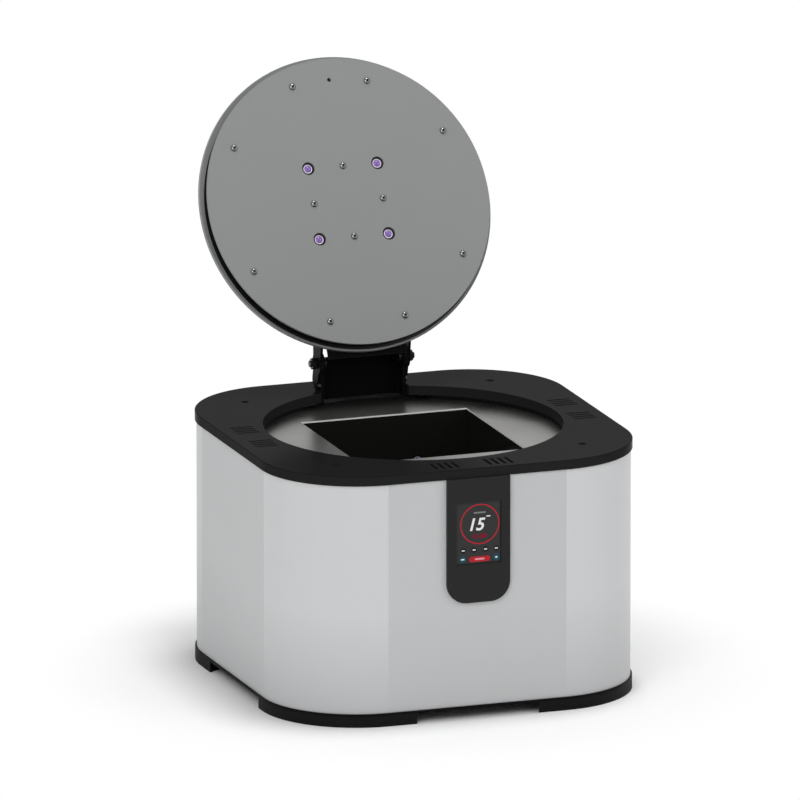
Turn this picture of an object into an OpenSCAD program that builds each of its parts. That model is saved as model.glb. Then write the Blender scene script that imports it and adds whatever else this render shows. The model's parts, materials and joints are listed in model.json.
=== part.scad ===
// Light curing unit for a dental laboratory: a square cabinet with a round lid that swings up and back
// over a lit curing chamber. Millimetres, +Z up, the front faces -Y, origin on the table under the middle.

/* [Cabinet] */
// Width and depth of the top plate and the base plate
body_w = 300; // [280:1:330]
// Radius of their vertical corners
corner_r = 77; // [60:1:85]
// Height of the feet
foot_h = 8.5; // [6:0.5:14]
// Thickness of the base plate
base_t = 2; // [1.5:0.5:4]
// Height of the sheet cabinet
cabinet_h = 182; // [176:1:220]
// Thickness of the cabinet sheet
sheet_t = 1.5; // [1:0.1:2]
// How far the cabinet stands back from the plates
cabinet_inset = 1.4; // [0.5:0.1:2.5]
// Thickness of the top plate
top_t = 7.5; // [6:0.5:10]
// Chamfer along the top plate's upper edge
top_chamfer = 0.5; // [0.2:0.1:1]
// How far the corner posts stand outside the centre of the corner's curve, sideways
post_out_x = 28.5; // [25:0.5:33]
// How far they stand outside it, front to back
post_out_y = 33; // [29:0.5:37]
// Diameter of the corner posts
post_d = 12; // [10:1:14]
// Length of a foot along the cabinet's side, its longer leg
foot_leg_long = 100; // [90:1:110]
// Length of a foot's shorter leg
foot_leg_short = 86; // [80:1:95]
// Width of a foot's band
foot_band = 24; // [18:1:30]

/* [Round opening and lid] */
// Radius of the round opening in the top plate
opening_r = 117; // [116:0.5:120]
// Gap all round between the lid's disc and the opening
disc_gap = 1.5; // [1.2:0.1:2]
// Thickness of the lid's disc
disc_t = 2.2; // [2:0.1:3]
// How far the closed disc's face lies below the top of the top plate
disc_sink = 8.4; // [8:0.1:9]
// How far the black spacer stands back from the disc's rim
spacer_inset = 3.5; // [2.5:0.5:7]
// Width of the spacer ring
spacer_band = 18; // [15:0.5:22]
// Thickness of the spacer
spacer_t = 7; // [6:0.1:8]
// How far the lid's cover reaches past the round opening
cover_lap = 2; // [1.5:0.1:2.2]
// Thickness of the lid's cover
cover_t = 4.2; // [3:0.1:5]
// Distance of the rim screws from the spacer's outer edge
rim_screw_in = 12; // [8:0.5:15]
// Angles of the rim screws from the lid's front, on each side
rim_angles = [18, 60, 120, 162];
// How far the magnet sits inside the circle of rim screws
magnet_in = 1.7; // [0:0.1:3]

/* [Curing chamber] */
// Inside width of the curing chamber
chamber_w = 137; // [130:1:140]
// Height of the space for the fan under the chamber
under_space = 42; // [36:1:60]
// Thickness of the chamber's walls
wall_t = 2.5; // [2:0.1:3]
// Width of the flange that carries each wall
wall_flange = 10; // [8:1:11]
// Gap between the inner plate and the top plate, filled by the light seal
seal_t = 2.8; // [2.7:0.1:4]
// Width of the light seal
seal_band = 6.5; // [6:0.5:8]
// Thickness of the inner plate
inner_t = 1.2; // [1:0.1:2]
// Number of screws that hold the inner plate
inner_screw_count = 6; // [5:1:8]

/* [Light modules] */
// Height of the wall modules' middle below the top plate's face
module_drop = 78.9; // [70:0.1:90]
// Half the spacing of the four lamps of a module, and of its four screws
lamp_half = 28.6; // [26:0.1:30]
// Diameter of the hole round each lamp
lamp_hole_d = 10.3; // [9.5:0.1:12]
// Diameter of a lamp's round carrier
carrier_d = 8; // [7:0.1:9]
// Diameter of a lamp's lens
lens_d = 5.8; // [5:0.1:6.5]
// Width of a module's board and of its heat sink
module_w = 80; // [72:1:84]
// Thickness of a module's board
board_t = 1.6; // [1:0.1:2]
// Thickness of the heat sink's base
sink_base = 4; // [3:0.5:6]
// Height of the heat sink's fins
fin_h = 14; // [8:1:20]
// Number of fins
fin_count = 13; // [7:1:17]
// Thickness of a fin
fin_t = 1.6; // [1:0.1:2.5]

/* [Front panel] */
// Width of the black front panel
panel_w = 51.5; // [48:0.5:60]
// Height of the front panel
panel_h = 99.3; // [90:0.1:120]
// Radius of the panel's lower corners
panel_r = 16; // [8:1:20]
// Thickness of the front panel
panel_t = 2.9; // [2:0.1:4]
// Width of the display window
screen_w = 36.7; // [34:0.1:40]
// Height of the display window
screen_h = 49; // [45:0.1:55]
// Height of the window's middle below the top plate's face
screen_drop = 51.5; // [45:0.5:60]
// How deep the display glass lies in the panel
screen_sink = 1.2; // [0.5:0.1:1.3]

/* [Hinge] */
// Distance of the hinge axis behind the edge of the round opening
pivot_back = 3.5; // [3:0.5:7]
// Height of the hinge axis above the top plate
pivot_up = 22; // [20:0.5:26]
// Opening angle of the lid
open_angle = 118; // [105:1:120]
// Thickness of the hinge's sheet
bracket_t = 2; // [1.5:0.1:2.5]
// Half the width across the fixed bracket
bracket_half = 35; // [32:0.5:38]
// Side clearance between the fixed and the moving cheeks
cheek_gap = 0.4; // [0.3:0.1:0.6]
// Radius of the cheeks' round ends
cheek_r = 9; // [8:0.5:10]
// Diameter of the pivot bolts
pivot_d = 5; // [4:0.5:6]
// How far the bracket's back web reaches above the hinge axis
web_rise = 2; // [-8:1:3]
// Width of the flanges that screw under the top plate
flange_w = 17; // [14:1:22]
// Length of the moving bracket's plate on the lid's cover
lid_plate_l = 43.5; // [36:0.5:52]
// Play between a pivot bolt and its holes, on the radius
pivot_play = 0.05; // [0.03:0.01:0.08]

/* [Vent slots] */
// What a vent slot leaves of the band between the opening and the edge, in all
slot_land = 14; // [10:0.5:18]
// Width of a vent slot
slot_w = 2.7; // [2:0.1:3.5]
// Distance between neighbouring slots
slot_pitch = 5.8; // [5:0.1:7]
// Number of slots in a group
slot_count = 4; // [3:1:5]
// Distance of a group's middle from the plate's middle line
slot_off = 22; // [20:0.5:26]
// How far the front slots lie outside the band's middle
slot_front_out = 0.5; // [-2:0.5:3]
// How far the side slots lie inside the band's middle
slot_side_in = 2.5; // [0:0.5:3]

/* [Fan and supply] */
// Width of the fan's frame
fan_w = 80; // [70:1:84]
// Depth of the fan
fan_h = 25; // [20:1:28]
// Number of fan blades
blade_count = 7; // [5:1:9]
// Radius of the fan's hub
fan_hub_r = 16; // [14:1:20]
// Height of the power inlet and the switch above the table
inlet_z = 40; // [34:1:60]
// Distance of the power inlet to the right of the middle
inlet_x = 34; // [30:1:40]
// Distance of the switch to the left of the middle
switch_x = 6; // [4:1:20]
// Tilt of the rocker at each of its two positions
rocker_tilt = 7; // [5:1:9]

/* [Screws] */
// Diameter of the small screws' shanks
screw_d = 3; // [2.5:0.1:3.5]
// Diameter of their domed heads
head_d = 5.5; // [5:0.1:6]
// Height of their domed heads
head_h = 1.6; // [1.3:0.1:1.8]
// Clearance round a shank in its hole
screw_play = 0.1; // [0.05:0.05:0.2]

/* [Hidden] */
$fn = 72;
eps = 0.01;
over = 1;
half_w = body_w / 2;
flat_half = half_w - corner_r;
base_z = foot_h;
floor_z = base_z + base_t;
top_z = floor_z + cabinet_h;
total_z = top_z + top_t;
cab_half = half_w - cabinet_inset;
cab_r = corner_r - cabinet_inset;
cab_in = cab_half - sheet_t;
post_x = flat_half + post_out_x;
post_y = flat_half + post_out_y;
foot_out = flat_half + (corner_r - foot_band / 2) * cos(45);
foot_slant = 0.65;
foot_seat = 2.5;
screw_tip = 1;
post_bore = 12;
post_bite = 10;

disc_r = opening_r - disc_gap;
cover_r = opening_r + cover_lap;
disc_z = total_z - disc_sink;
spacer_r = disc_r - spacer_inset;
spacer_z = disc_z + disc_t;
cover_z = spacer_z + spacer_t;
cover_top = cover_z + cover_t;
cover_skin = 0.8;
rim_screw_r = spacer_r - rim_screw_in;
rim_bite = 2.5;
magnet_r = rim_screw_r - magnet_in;
magnet_d = 8;
magnet_t = 4;
magnet_play = 0.15;
spreader_bite = 3;

inner_z = top_z - seal_t;
inner_r = opening_r + seal_band;
inner_sweep = 300;
chamber_top = inner_z - inner_t;
chamber_half = chamber_w / 2;
chamber_out = chamber_half + wall_t;
chamber_z = floor_z + under_space;
chamber_h = chamber_top - chamber_z;
floor_post_in = 12;
floor_post_d = 8;
lamp_mid_z = total_z - module_drop;
lens_r = lens_d / 2;
carrier_t = 0.8;
lens_rim_t = 0.3;
lens_dome = 1;
lens_flat = 0.05;
sink_bite = 2.5;
sink_skin = 0.5;

shank_r = screw_d / 2;
hole_r = shank_r + screw_play;
head_play = 0.4;
socket_share = 0.21;
cap_h = 2.5;
cap_sink = 4.5;
cap_bite = 9;
plate_bore = 5;
plate_bite = 4;

slot_band = half_w - opening_r;
slot_len = slot_band - slot_land;
slot_front = half_w - slot_band / 2 + slot_front_out;
slot_side = half_w - slot_band / 2 - slot_side_in;

screen_z = total_z - screen_drop;
screen_fit = 0.15;
glass_t = panel_t - screen_sink;
front_y = -cab_half - panel_t;
rear_y = cab_half;
display_rim = 3;
display_tail = 7;
connector_t = 4;
connector_h = 8;

pivot_y = opening_r + pivot_back;
pivot_z = total_z + pivot_up;
pivot_r = pivot_d / 2;
cheek_in = bracket_half - bracket_t;
lid_cheek_in = bracket_half + cheek_gap;
lid_cheek_out = lid_cheek_in + bracket_t;
cheek_core = 0.9 * cheek_r;
bracket_front = pivot_y - 5;
bracket_back = pivot_y + cheek_r + 0.5;
bracket_low = top_z - bracket_t;
web_top = pivot_z + web_rise;
flange_half = bracket_half + flange_w;
flange_screw = 9;
flange_margin = 4;
notch_gap = 1.4;
notch_half = bracket_half + notch_gap;
notch_back = bracket_back + notch_gap;
seal_gap = 1;
bolt_head_r = 1.7 * pivot_r;
bolt_socket_r = 0.8 * pivot_r;
bolt_head_t = 3;
bolt_tip = 1.5;
nut_t = 4;
nut_r = 0.8 * pivot_d / cos(30);
washer_gap = 0.3;
bolt_end = lid_cheek_out + washer_gap + nut_t + bolt_tip;
stop_y = pivot_y - 2;
stop_z = total_z + 4;
stop_head_r = 2.5;
stop_head_h = 2.2;
stop_gap = 0.3;
lid_plate_back = pivot_y - cheek_r;
lid_plate_front = lid_plate_back - lid_plate_l;
lid_plate_bite = 3;
plate_screw_x = 20;
plate_screw_front = 10;
plate_screw_back = 12;
tongue_half = cheek_in - 0.5;
tongue_back = pivot_y + 1.5;
cheek_front = lid_plate_front + 14;
cheek_rise = 6;
cheek_root = 55;
heel_angle = 42;
heel_r = 6;
heel_out = 14.5;

side_x = 108;
board_len = 96;
board_wide = 56;
board_edge = 4;
standoff_d = 5;
standoff_h = 8;
chip_w = 14;
chip_t = 1.5;
relay_w = 18;
relay_h = 9;
terminal_count = 4;
terminal_w = 9;
terminal_l = 10;
terminal_pitch = 11;
terminal_y = board_len - terminal_l - board_edge;
can_count = 4;
can_d = 8;
can_len = 12;
can_pitch = 13;
can_first = 20;
supply_len = 98;
supply_wide = 52;
supply_h = 32;
supply_margin = 8;
supply_slot = 3.5;
supply_pitch = 8;
supply_slot_count = 11;

fan_bore_r = fan_w / 2 - 1.5;
fan_hole = fan_w / 2 - 4.25;
fan_corner_r = 5;
fan_seat_t = 3;
fan_shaft_r = 1.5;
fan_strut = 5;
fan_gap = 1;
bearing_r = 4;
bearing_h = 11;
hub_crown = 4;
blade_gap = 1.2;
blade_r = fan_bore_r - blade_gap;
blade_t = 1.6;
blade_tilt = 42;
blade_wide = 26;
blade_top = 1.5;
grille_rim = 4;
grille_pitch = 6.5;
grille_slot = 3;
grille_side = 5;

sensor_l = 16;
sensor_w = 8;
sensor_h = 5;
cut_play = 0.2;
inlet_body_w = 27.4;
inlet_body_h = 20;
inlet_depth = 24;
inlet_flange_w = 48;
inlet_flange_h = 22.6;
inlet_flange_t = 2.2;
inlet_screw = 20;
cavity_w = 23.4;
cavity_h = 15.6;
cavity_d = 16.5;
cavity_corner = 4.5;
pin_off = 7;
pin_low = 1;
pin_high = 3;
pin_w = 2;
pin_h = 4;
pin_short = 4;
switch_body_w = 13.4;
switch_body_h = 19.4;
switch_depth = 15;
switch_well = 8;
switch_rim = 1;
switch_flange = 1.8;
rocker_w = 9.6;
rocker_h = 15.4;
rocker_gap = 0.4;
well_w = rocker_w + 2 * rocker_gap;
well_h = rocker_h + 2 * rocker_gap;
rocker_pin_r = 1.4;
rocker_axis = 2;
rocker_low = 1.5;
rocker_foot = 4;
rocker_side = 3.6;
rocker_peak = 5.2;
rocker_dip = 3.9;
rocker_trim = 0.4;
pin_end = 0.8;

// A square outline with round corners, centred
module rounded(half, r) {
    square([2 * (half - r), 2 * half], center = true);
    square([2 * half, 2 * (half - r)], center = true);
    for (sx = [-1, 1], sy = [-1, 1])
        translate([sx * (half - r), sy * (half - r)])
            circle(r, $fn = 160);
}

// A slot outline along X
module slot(len, w) {
    square([len - w, w], center = true);
    for (s = [-1, 1])
        translate([s * (len - w) / 2, 0])
            circle(w / 2, $fn = 32);
}

// A screw with a domed head: the shank runs down from z = 0 and the head stands above it
module dome_screw(len, head = head_d, high = head_h, shank = shank_r) {
    ball = (head * head / 4 + high * high) / (2 * high);
    translate([0, 0, -len])
        cylinder(r = shank, h = len + eps, $fn = 32);
    difference() {
        intersection() {
            translate([0, 0, high - ball])
                sphere(ball, $fn = 64);
            cylinder(r = head / 2, h = high + over, $fn = 48);
        }
        translate([0, 0, high / 2])
            cylinder(r = head * socket_share, h = high, $fn = 6);
    }
}

// Places the children at the four lamps of a module that faces +Z
module at_lamps() {
    for (sx = [-1, 1], sy = [-1, 1])
        translate([sx * lamp_half, sy * lamp_half, 0])
            children();
}

// Places the children at a module's four screws
module at_module_screws() {
    for (a = [0:90:270])
        rotate([0, 0, a])
            translate([lamp_half, 0, 0])
                children();
}

// One lamp on its board: a round carrier and a lens with a low dome, flat at its middle
module lamp() {
    ball = (lens_r * lens_r + lens_dome * lens_dome) / (2 * lens_dome);
    lens_h = lens_rim_t + lens_dome;
    cylinder(d = carrier_d, h = carrier_t, $fn = 48);
    translate([0, 0, carrier_t])
        intersection() {
            translate([0, 0, lens_h - ball])
                sphere(ball, $fn = 64);
            cylinder(r = lens_r, h = lens_h - lens_flat, $fn = 48);
        }
}

// Turns a module that lies in XY and faces +Z so that it stands outside a chamber wall and faces inwards
module on_wall(side) {
    rotate([0, 0, side])
        translate([0, -chamber_out, lamp_mid_z])
            rotate([-90, 0, 0])
                children();
}

// Places the children at the four corner posts
module at_posts() {
    for (sx = [-1, 1], sy = [-1, 1])
        translate([sx * post_x, sy * post_y, 0])
            children();
}

// The lid is drawn closed, and this turns it to its open place
module opened() {
    translate([0, pivot_y, pivot_z])
        rotate([-open_angle, 0, 0])
            translate([0, -pivot_y, -pivot_z])
                children();
}

// Places the children at the lid's rim screws
module at_rim() {
    for (a = rim_angles, s = [-1, 1])
        rotate([0, 0, s * a])
            translate([0, -rim_screw_r, 0])
                children();
}

// Base plate with an intake grille under the fan
module base_plate() color([0.08, 0.08, 0.08])
    translate([0, 0, base_z])
        linear_extrude(base_t)
            difference() {
                rounded(half_w, corner_r);
                intersection() {
                    circle(fan_bore_r - grille_rim);
                    for (i = [-grille_side:grille_side])
                        translate([i * grille_pitch, 0])
                            square([grille_slot, fan_w], center = true);
                }
                at_posts()
                    circle(hole_r + head_play, $fn = 32);
                at_fan_holes()
                    circle(hole_r, $fn = 32);
                at_foot_screws()
                    circle(hole_r, $fn = 32);
            }

// Places the children at the fan's four fixing holes
module at_fan_holes() {
    for (sx = [-1, 1], sy = [-1, 1])
        translate([sx * fan_hole, sy * fan_hole, 0])
            children();
}

// Places the children at the screw of each foot, on the diagonal of the corner
module at_foot_screws() {
    for (sx = [-1, 1], sy = [-1, 1])
        translate([sx * foot_out, sy * foot_out, 0])
            children();
}

// One corner foot: a band that follows the corner and ends in slanting cuts
module foot(leg_x, leg_y) {
    far = body_w;
    slant = foot_slant * foot_band;
    inside = half_w - foot_band;
    end_x = half_w - leg_x;
    end_y = half_w - leg_y;
    difference() {
        linear_extrude(foot_h)
            intersection() {
                difference() {
                    rounded(half_w, corner_r);
                    rounded(inside, corner_r - foot_band);
                }
                polygon([[end_x, half_w], [end_x + slant, inside], [inside, end_y + slant], [half_w, end_y],
                    [far, end_y], [far, far], [end_x, far]]);
            }
        translate([foot_out, foot_out, -eps])
            cylinder(r = head_d / 2 + head_play, h = foot_h - foot_seat + 2 * eps, $fn = 48);
        translate([foot_out, foot_out, 0])
            cylinder(r = hole_r, h = foot_h + over, $fn = 32);
    }
}

module foot_front_left() color([0.07, 0.07, 0.07])
    rotate([0, 0, 180])
        foot(foot_leg_long, foot_leg_short);

module foot_front_right() color([0.07, 0.07, 0.07])
    mirror([1, 0, 0])
        foot_front_left();

module foot_rear_right() color([0.07, 0.07, 0.07])
    foot(foot_leg_short, foot_leg_long);

module foot_rear_left() color([0.07, 0.07, 0.07])
    mirror([1, 0, 0])
        foot_rear_right();

module foot_screws() color([0.3, 0.3, 0.3])
    at_foot_screws()
        translate([0, 0, foot_h - foot_seat])
            mirror([0, 0, 1])
                dome_screw(foot_seat + base_t + screw_tip);

// Sheet cabinet with the window behind the front panel and the cut-outs of the inlet and the switch
module cabinet_shell() color([0.75, 0.75, 0.76])
    difference() {
        translate([0, 0, floor_z])
            linear_extrude(cabinet_h)
                difference() {
                    rounded(cab_half, cab_r);
                    rounded(cab_in, cab_r - sheet_t);
                }
        translate([0, -cab_half, screen_z])
            wall_cut(screen_w, screen_h);
        translate([inlet_x, cab_in, inlet_z])
            wall_cut(inlet_body_w + 2 * cut_play, inlet_body_h + 2 * cut_play);
        translate([-switch_x, cab_in, inlet_z])
            wall_cut(switch_body_w + 2 * cut_play, switch_body_h + 2 * cut_play);
    }

// A rectangular cut through the cabinet's sheet, which lies between y = 0 and the sheet's thickness
module wall_cut(w, h)
    translate([-w / 2, -over, -h / 2])
        cube([w, sheet_t + 2 * over, h]);

// Posts between the base plate and the top plate, drilled at both ends
module corner_posts() color("silver")
    at_posts()
        translate([0, 0, floor_z])
            difference() {
                cylinder(d = post_d, h = cabinet_h);
                translate([0, 0, -eps])
                    cylinder(r = hole_r, h = post_bore, $fn = 32);
                translate([0, 0, cabinet_h - post_bore])
                    cylinder(r = hole_r, h = post_bore + eps, $fn = 32);
            }

module post_screws() color([0.3, 0.3, 0.3])
    at_posts()
        translate([0, 0, base_z])
            mirror([0, 0, 1])
                dome_screw(base_t + post_bite);

// Black top plate: round opening, notch for the hinge, vent slots and countersunk corner holes
module top_plate() color([0.17, 0.17, 0.17])
    difference() {
        translate([0, 0, top_z])
            chamfered_slab(half_w, corner_r, top_t, top_chamfer);
        translate([0, 0, top_z - over])
            cylinder(r = opening_r, h = top_t + 2 * over, $fn = 200);
        translate([-notch_half, opening_r / 2, top_z - over])
            cube([2 * notch_half, notch_back - opening_r / 2, top_t + 2 * over]);
        at_posts() {
            translate([0, 0, top_z - over])
                cylinder(r = hole_r, h = top_t + 2 * over, $fn = 32);
            translate([0, 0, total_z - cap_sink])
                cylinder(r = head_d / 2 + head_play, h = cap_sink + over, $fn = 48);
        }
        translate([0, 0, top_z - over])
            linear_extrude(top_t + 2 * over)
                vent_slots();
        at_inner_screws()
            translate([0, 0, top_z - over])
                cylinder(r = hole_r, h = plate_bore + over, $fn = 32);
        at_bracket_screws()
            translate([0, 0, top_z - over])
                cylinder(r = hole_r, h = plate_bore + over, $fn = 32);
    }

// A plate with round corners and a chamfer along its upper edge
module chamfered_slab(half, r, t, c) {
    flat = half - r;
    profile = [[-half, 0], [half, 0], [half, t - c], [half - c, t], [c - half, t], [-half, t - c]];
    for (a = [0, 90])
        rotate([90, 0, a])
            translate([0, 0, -flat])
                linear_extrude(2 * flat)
                    polygon(profile);
    for (sx = [-1, 1], sy = [-1, 1])
        translate([sx * flat, sy * flat, 0]) {
            cylinder(r = r, h = t - c, $fn = 160);
            translate([0, 0, t - c])
                cylinder(r1 = r, r2 = r - c, h = c, $fn = 160);
        }
}

// Two groups of slots at the front and two at each side
module vent_slots() {
    for (s = [-1, 1], i = [0:slot_count - 1]) {
        along = s * slot_off + (i - (slot_count - 1) / 2) * slot_pitch;
        translate([along, -slot_front])
            rotate(90)
                slot(slot_len, slot_w);
        for (side = [-1, 1])
            translate([side * slot_side, along])
                slot(slot_len, slot_w);
    }
}

module top_plate_screws() color([0.25, 0.25, 0.25])
    at_posts()
        translate([0, 0, total_z - cap_sink])
            dome_screw(top_t - cap_sink + cap_bite, high = cap_h);

// Places the children at the screws of the inner plate, none of them at the hinge
module at_inner_screws() {
    for (i = [0:inner_screw_count - 1])
        rotate([0, 0, -90 + (i - (inner_screw_count - 1) / 2) * inner_sweep / inner_screw_count])
            translate([opening_r + seal_band / 2, 0, 0])
                children();
}

// Polished plate in the recess, with the chamber's square opening
module inner_plate() color([0.8, 0.8, 0.8])
    difference() {
        translate([0, 0, chamber_top])
            cylinder(r = inner_r, h = inner_t, $fn = 200);
        translate([-chamber_half, -chamber_half, chamber_top - over])
            cube([chamber_w, chamber_w, inner_t + 2 * over]);
        at_inner_screws()
            translate([0, 0, chamber_top - over])
                cylinder(r = hole_r, h = inner_t + 2 * over, $fn = 32);
    }

module inner_plate_screws() color([0.6, 0.6, 0.6])
    at_inner_screws()
        translate([0, 0, chamber_top])
            mirror([0, 0, 1])
                dome_screw(inner_t + seal_t + plate_bite);

// Black sealing ring between the inner plate and the top plate, open where the hinge comes through
module light_seal() color([0.06, 0.06, 0.06])
    difference() {
        translate([0, 0, inner_z])
            cylinder(r = inner_r, h = seal_t, $fn = 200);
        translate([0, 0, inner_z - over])
            cylinder(r = opening_r, h = seal_t + 2 * over, $fn = 200);
        translate([-flange_half - seal_gap, opening_r / 2, inner_z - over])
            cube([2 * (flange_half + seal_gap), inner_r, seal_t + 2 * over]);
        at_inner_screws()
            translate([0, 0, inner_z - over])
                cylinder(r = hole_r, h = seal_t + 2 * over, $fn = 32);
    }

// One chamber wall with its lamp holes, screw holes and an outward flange under the inner plate
module chamber_wall(side, half_len) {
    rotate([0, 0, side])
        translate([-half_len, -chamber_out, chamber_z])
            cube([2 * half_len, wall_t, chamber_h]);
    rotate([0, 0, side])
        translate([-module_w / 2, -chamber_out - wall_flange, chamber_top - wall_t])
            cube([module_w, wall_flange + eps, wall_t]);
}

module chamber_panel(side, half_len)
    difference() {
        chamber_wall(side, half_len);
        on_wall(side) {
            at_lamps()
                translate([0, 0, -over])
                    cylinder(d = lamp_hole_d, h = wall_t + 2 * over, $fn = 48);
            at_module_screws()
                translate([0, 0, -over])
                    cylinder(r = hole_r, h = wall_t + 2 * over, $fn = 32);
        }
    }

module chamber_front_wall() color([0.09, 0.09, 0.09])
    chamber_panel(0, chamber_half);

module chamber_back_wall() color([0.09, 0.09, 0.09])
    chamber_panel(180, chamber_half);

module chamber_left_wall() color([0.09, 0.09, 0.09])
    chamber_panel(270, chamber_out);

module chamber_right_wall() color([0.09, 0.09, 0.09])
    chamber_panel(90, chamber_out);

module chamber_floor() color([0.09, 0.09, 0.09])
    translate([-chamber_out, -chamber_out, chamber_z - wall_t])
        cube([2 * chamber_out, 2 * chamber_out, wall_t]);

// Posts that carry the chamber's floor from the base plate
module floor_posts() color("silver")
    for (sx = [-1, 1], sy = [-1, 1])
        translate([sx * (chamber_out - floor_post_in), sy * (chamber_out - floor_post_in), floor_z])
            cylinder(d = floor_post_d, h = under_space - wall_t);

// One lamp board that lies in XY under z = 0
module module_board()
    difference() {
        translate([-module_w / 2, -module_w / 2, -board_t])
            cube([module_w, module_w, board_t]);
        at_module_screws()
            translate([0, 0, -board_t - over])
                cylinder(r = hole_r, h = board_t + 2 * over, $fn = 32);
    }

// One heat sink behind its board, a base with a row of fins
module heat_sink() {
    pitch = (module_w - fin_t) / (fin_count - 1);
    difference() {
        translate([0, 0, -board_t])
            rotate([90, 0, 0])
                translate([0, 0, -module_w / 2])
                    linear_extrude(module_w) {
                        translate([-module_w / 2, -sink_base])
                            square([module_w, sink_base]);
                        for (i = [0:fin_count - 1])
                            translate([i * pitch - module_w / 2, -sink_base - fin_h])
                                square([fin_t, fin_h + eps]);
                    }
        at_module_screws()
            translate([0, 0, -board_t - sink_base + sink_skin])
                cylinder(r = hole_r, h = sink_base + over, $fn = 32);
    }
}

module led_board_front() color([0.08, 0.08, 0.08])
    on_wall(0) module_board();

module led_board_back() color([0.08, 0.08, 0.08])
    on_wall(180) module_board();

module led_board_left() color([0.08, 0.08, 0.08])
    on_wall(270) module_board();

module led_board_right() color([0.08, 0.08, 0.08])
    on_wall(90) module_board();

module heat_sink_front() color([0.7, 0.7, 0.72])
    on_wall(0) heat_sink();

module heat_sink_back() color([0.7, 0.7, 0.72])
    on_wall(180) heat_sink();

module heat_sink_left() color([0.7, 0.7, 0.72])
    on_wall(270) heat_sink();

module heat_sink_right() color([0.7, 0.7, 0.72])
    on_wall(90) heat_sink();

module wall_leds() color([0.55, 0.42, 0.75])
    for (side = [0:90:270])
        on_wall(side)
            at_lamps()
                lamp();

module wall_module_screws() color([0.65, 0.65, 0.65])
    for (side = [0:90:270])
        on_wall(side)
            at_module_screws()
                translate([0, 0, wall_t])
                    dome_screw(wall_t + board_t + sink_bite);

// Outline of the front panel in X and Z, square above and round below
module panel_outline() {
    translate([-panel_w / 2, panel_r - panel_h])
        square([panel_w, panel_h - panel_r]);
    translate([panel_r - panel_w / 2, -panel_h])
        square([panel_w - 2 * panel_r, panel_h]);
    for (s = [-1, 1])
        translate([s * (panel_w / 2 - panel_r), panel_r - panel_h])
            circle(panel_r, $fn = 96);
}

module front_panel() color([0.19, 0.19, 0.19])
    difference() {
        translate([0, -cab_half, top_z])
            rotate([90, 0, 0])
                linear_extrude(panel_t)
                    panel_outline();
        translate([-screen_w / 2, front_y - over, screen_z - screen_h / 2])
            cube([screen_w, panel_t + 2 * over, screen_h]);
    }

module display_glass() color([0.24, 0.24, 0.25])
    translate([screen_fit - screen_w / 2, -cab_half - glass_t, screen_z - screen_h / 2 + screen_fit])
        cube([screen_w - 2 * screen_fit, glass_t, screen_h - 2 * screen_fit]);

// Display block that reaches through the cabinet's window, on its board inside
module display_module() color([0.1, 0.3, 0.2]) {
    translate([screen_fit - screen_w / 2, -cab_half, screen_z - screen_h / 2 + screen_fit])
        cube([screen_w - 2 * screen_fit, sheet_t + eps, screen_h - 2 * screen_fit]);
    translate([-screen_w / 2 - display_rim, -cab_in, screen_z - screen_h / 2 - display_tail])
        cube([screen_w + 2 * display_rim, board_t, screen_h + 2 * display_tail]);
    translate([-screen_w / 2, board_t - cab_in - eps, screen_z - screen_h / 2 - connector_h / 2])
        cube([screen_w / 2, connector_t, connector_h]);
}

// Places the children at the controller board's four standoffs
module at_standoffs() {
    for (sx = [-1, 1], sy = [-1, 1])
        translate([-side_x + sx * (board_wide / 2 - board_edge), sy * (board_len / 2 - board_edge), floor_z])
            children();
}

module board_standoffs() color([0.8, 0.7, 0.4])
    at_standoffs()
        cylinder(d = standoff_d, h = standoff_h, $fn = 6);

// Controller board with its processor, a relay, a row of terminals and a row of capacitors
module controller_board() color([0.1, 0.35, 0.2])
    translate([-side_x - board_wide / 2, -board_len / 2, floor_z + standoff_h]) {
        cube([board_wide, board_len, board_t]);
        translate([chip_w, chip_w, board_t - eps])
            cube([chip_w, chip_w, chip_t]);
        translate([chip_w, terminal_y - 1.5 * relay_w, board_t - eps])
            cube([relay_w, relay_w, relay_h]);
        for (i = [0:terminal_count - 1])
            translate([2 * board_edge + i * terminal_pitch, terminal_y, board_t - eps])
                cube([terminal_w, terminal_l, relay_h]);
        for (i = [0:can_count - 1])
            translate([board_wide - 1.5 * can_d, can_first + i * can_pitch, board_t - eps])
                cylinder(d = can_d, h = can_len, $fn = 40);
    }

// Power supply in a ventilated case
module power_supply() color([0.72, 0.72, 0.72])
    translate([side_x - supply_wide / 2, -supply_len / 2, floor_z])
        difference() {
            cube([supply_wide, supply_len, supply_h]);
            for (i = [0:supply_slot_count - 1])
                translate([supply_margin, supply_margin + i * supply_pitch, supply_h - over])
                    cube([supply_wide - 2 * supply_margin, supply_slot, 2 * over]);
        }

// Fan frame: a square housing with a round bore, a motor seat on struts and fixing holes
module fan_frame() color([0.1, 0.1, 0.1])
    translate([0, 0, floor_z]) {
        translate([0, 0, fan_seat_t])
            linear_extrude(fan_h - fan_seat_t)
                fan_housing();
        linear_extrude(fan_seat_t) {
            fan_housing();
            difference() {
                union() {
                    circle(fan_hub_r);
                    for (a = [45, 135])
                        rotate(a)
                            square([2 * fan_bore_r + 1, fan_strut], center = true);
                }
                circle(fan_shaft_r + pivot_play, $fn = 40);
            }
        }
        translate([0, 0, fan_seat_t])
            linear_extrude(bearing_h)
                difference() {
                    circle(bearing_r);
                    circle(fan_shaft_r + pivot_play, $fn = 40);
                }
    }

// Outline of the fan's housing
module fan_housing()
    difference() {
        rounded(fan_w / 2, fan_corner_r);
        circle(fan_bore_r, $fn = 120);
        at_fan_holes()
            circle(hole_r, $fn = 32);
    }

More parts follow.
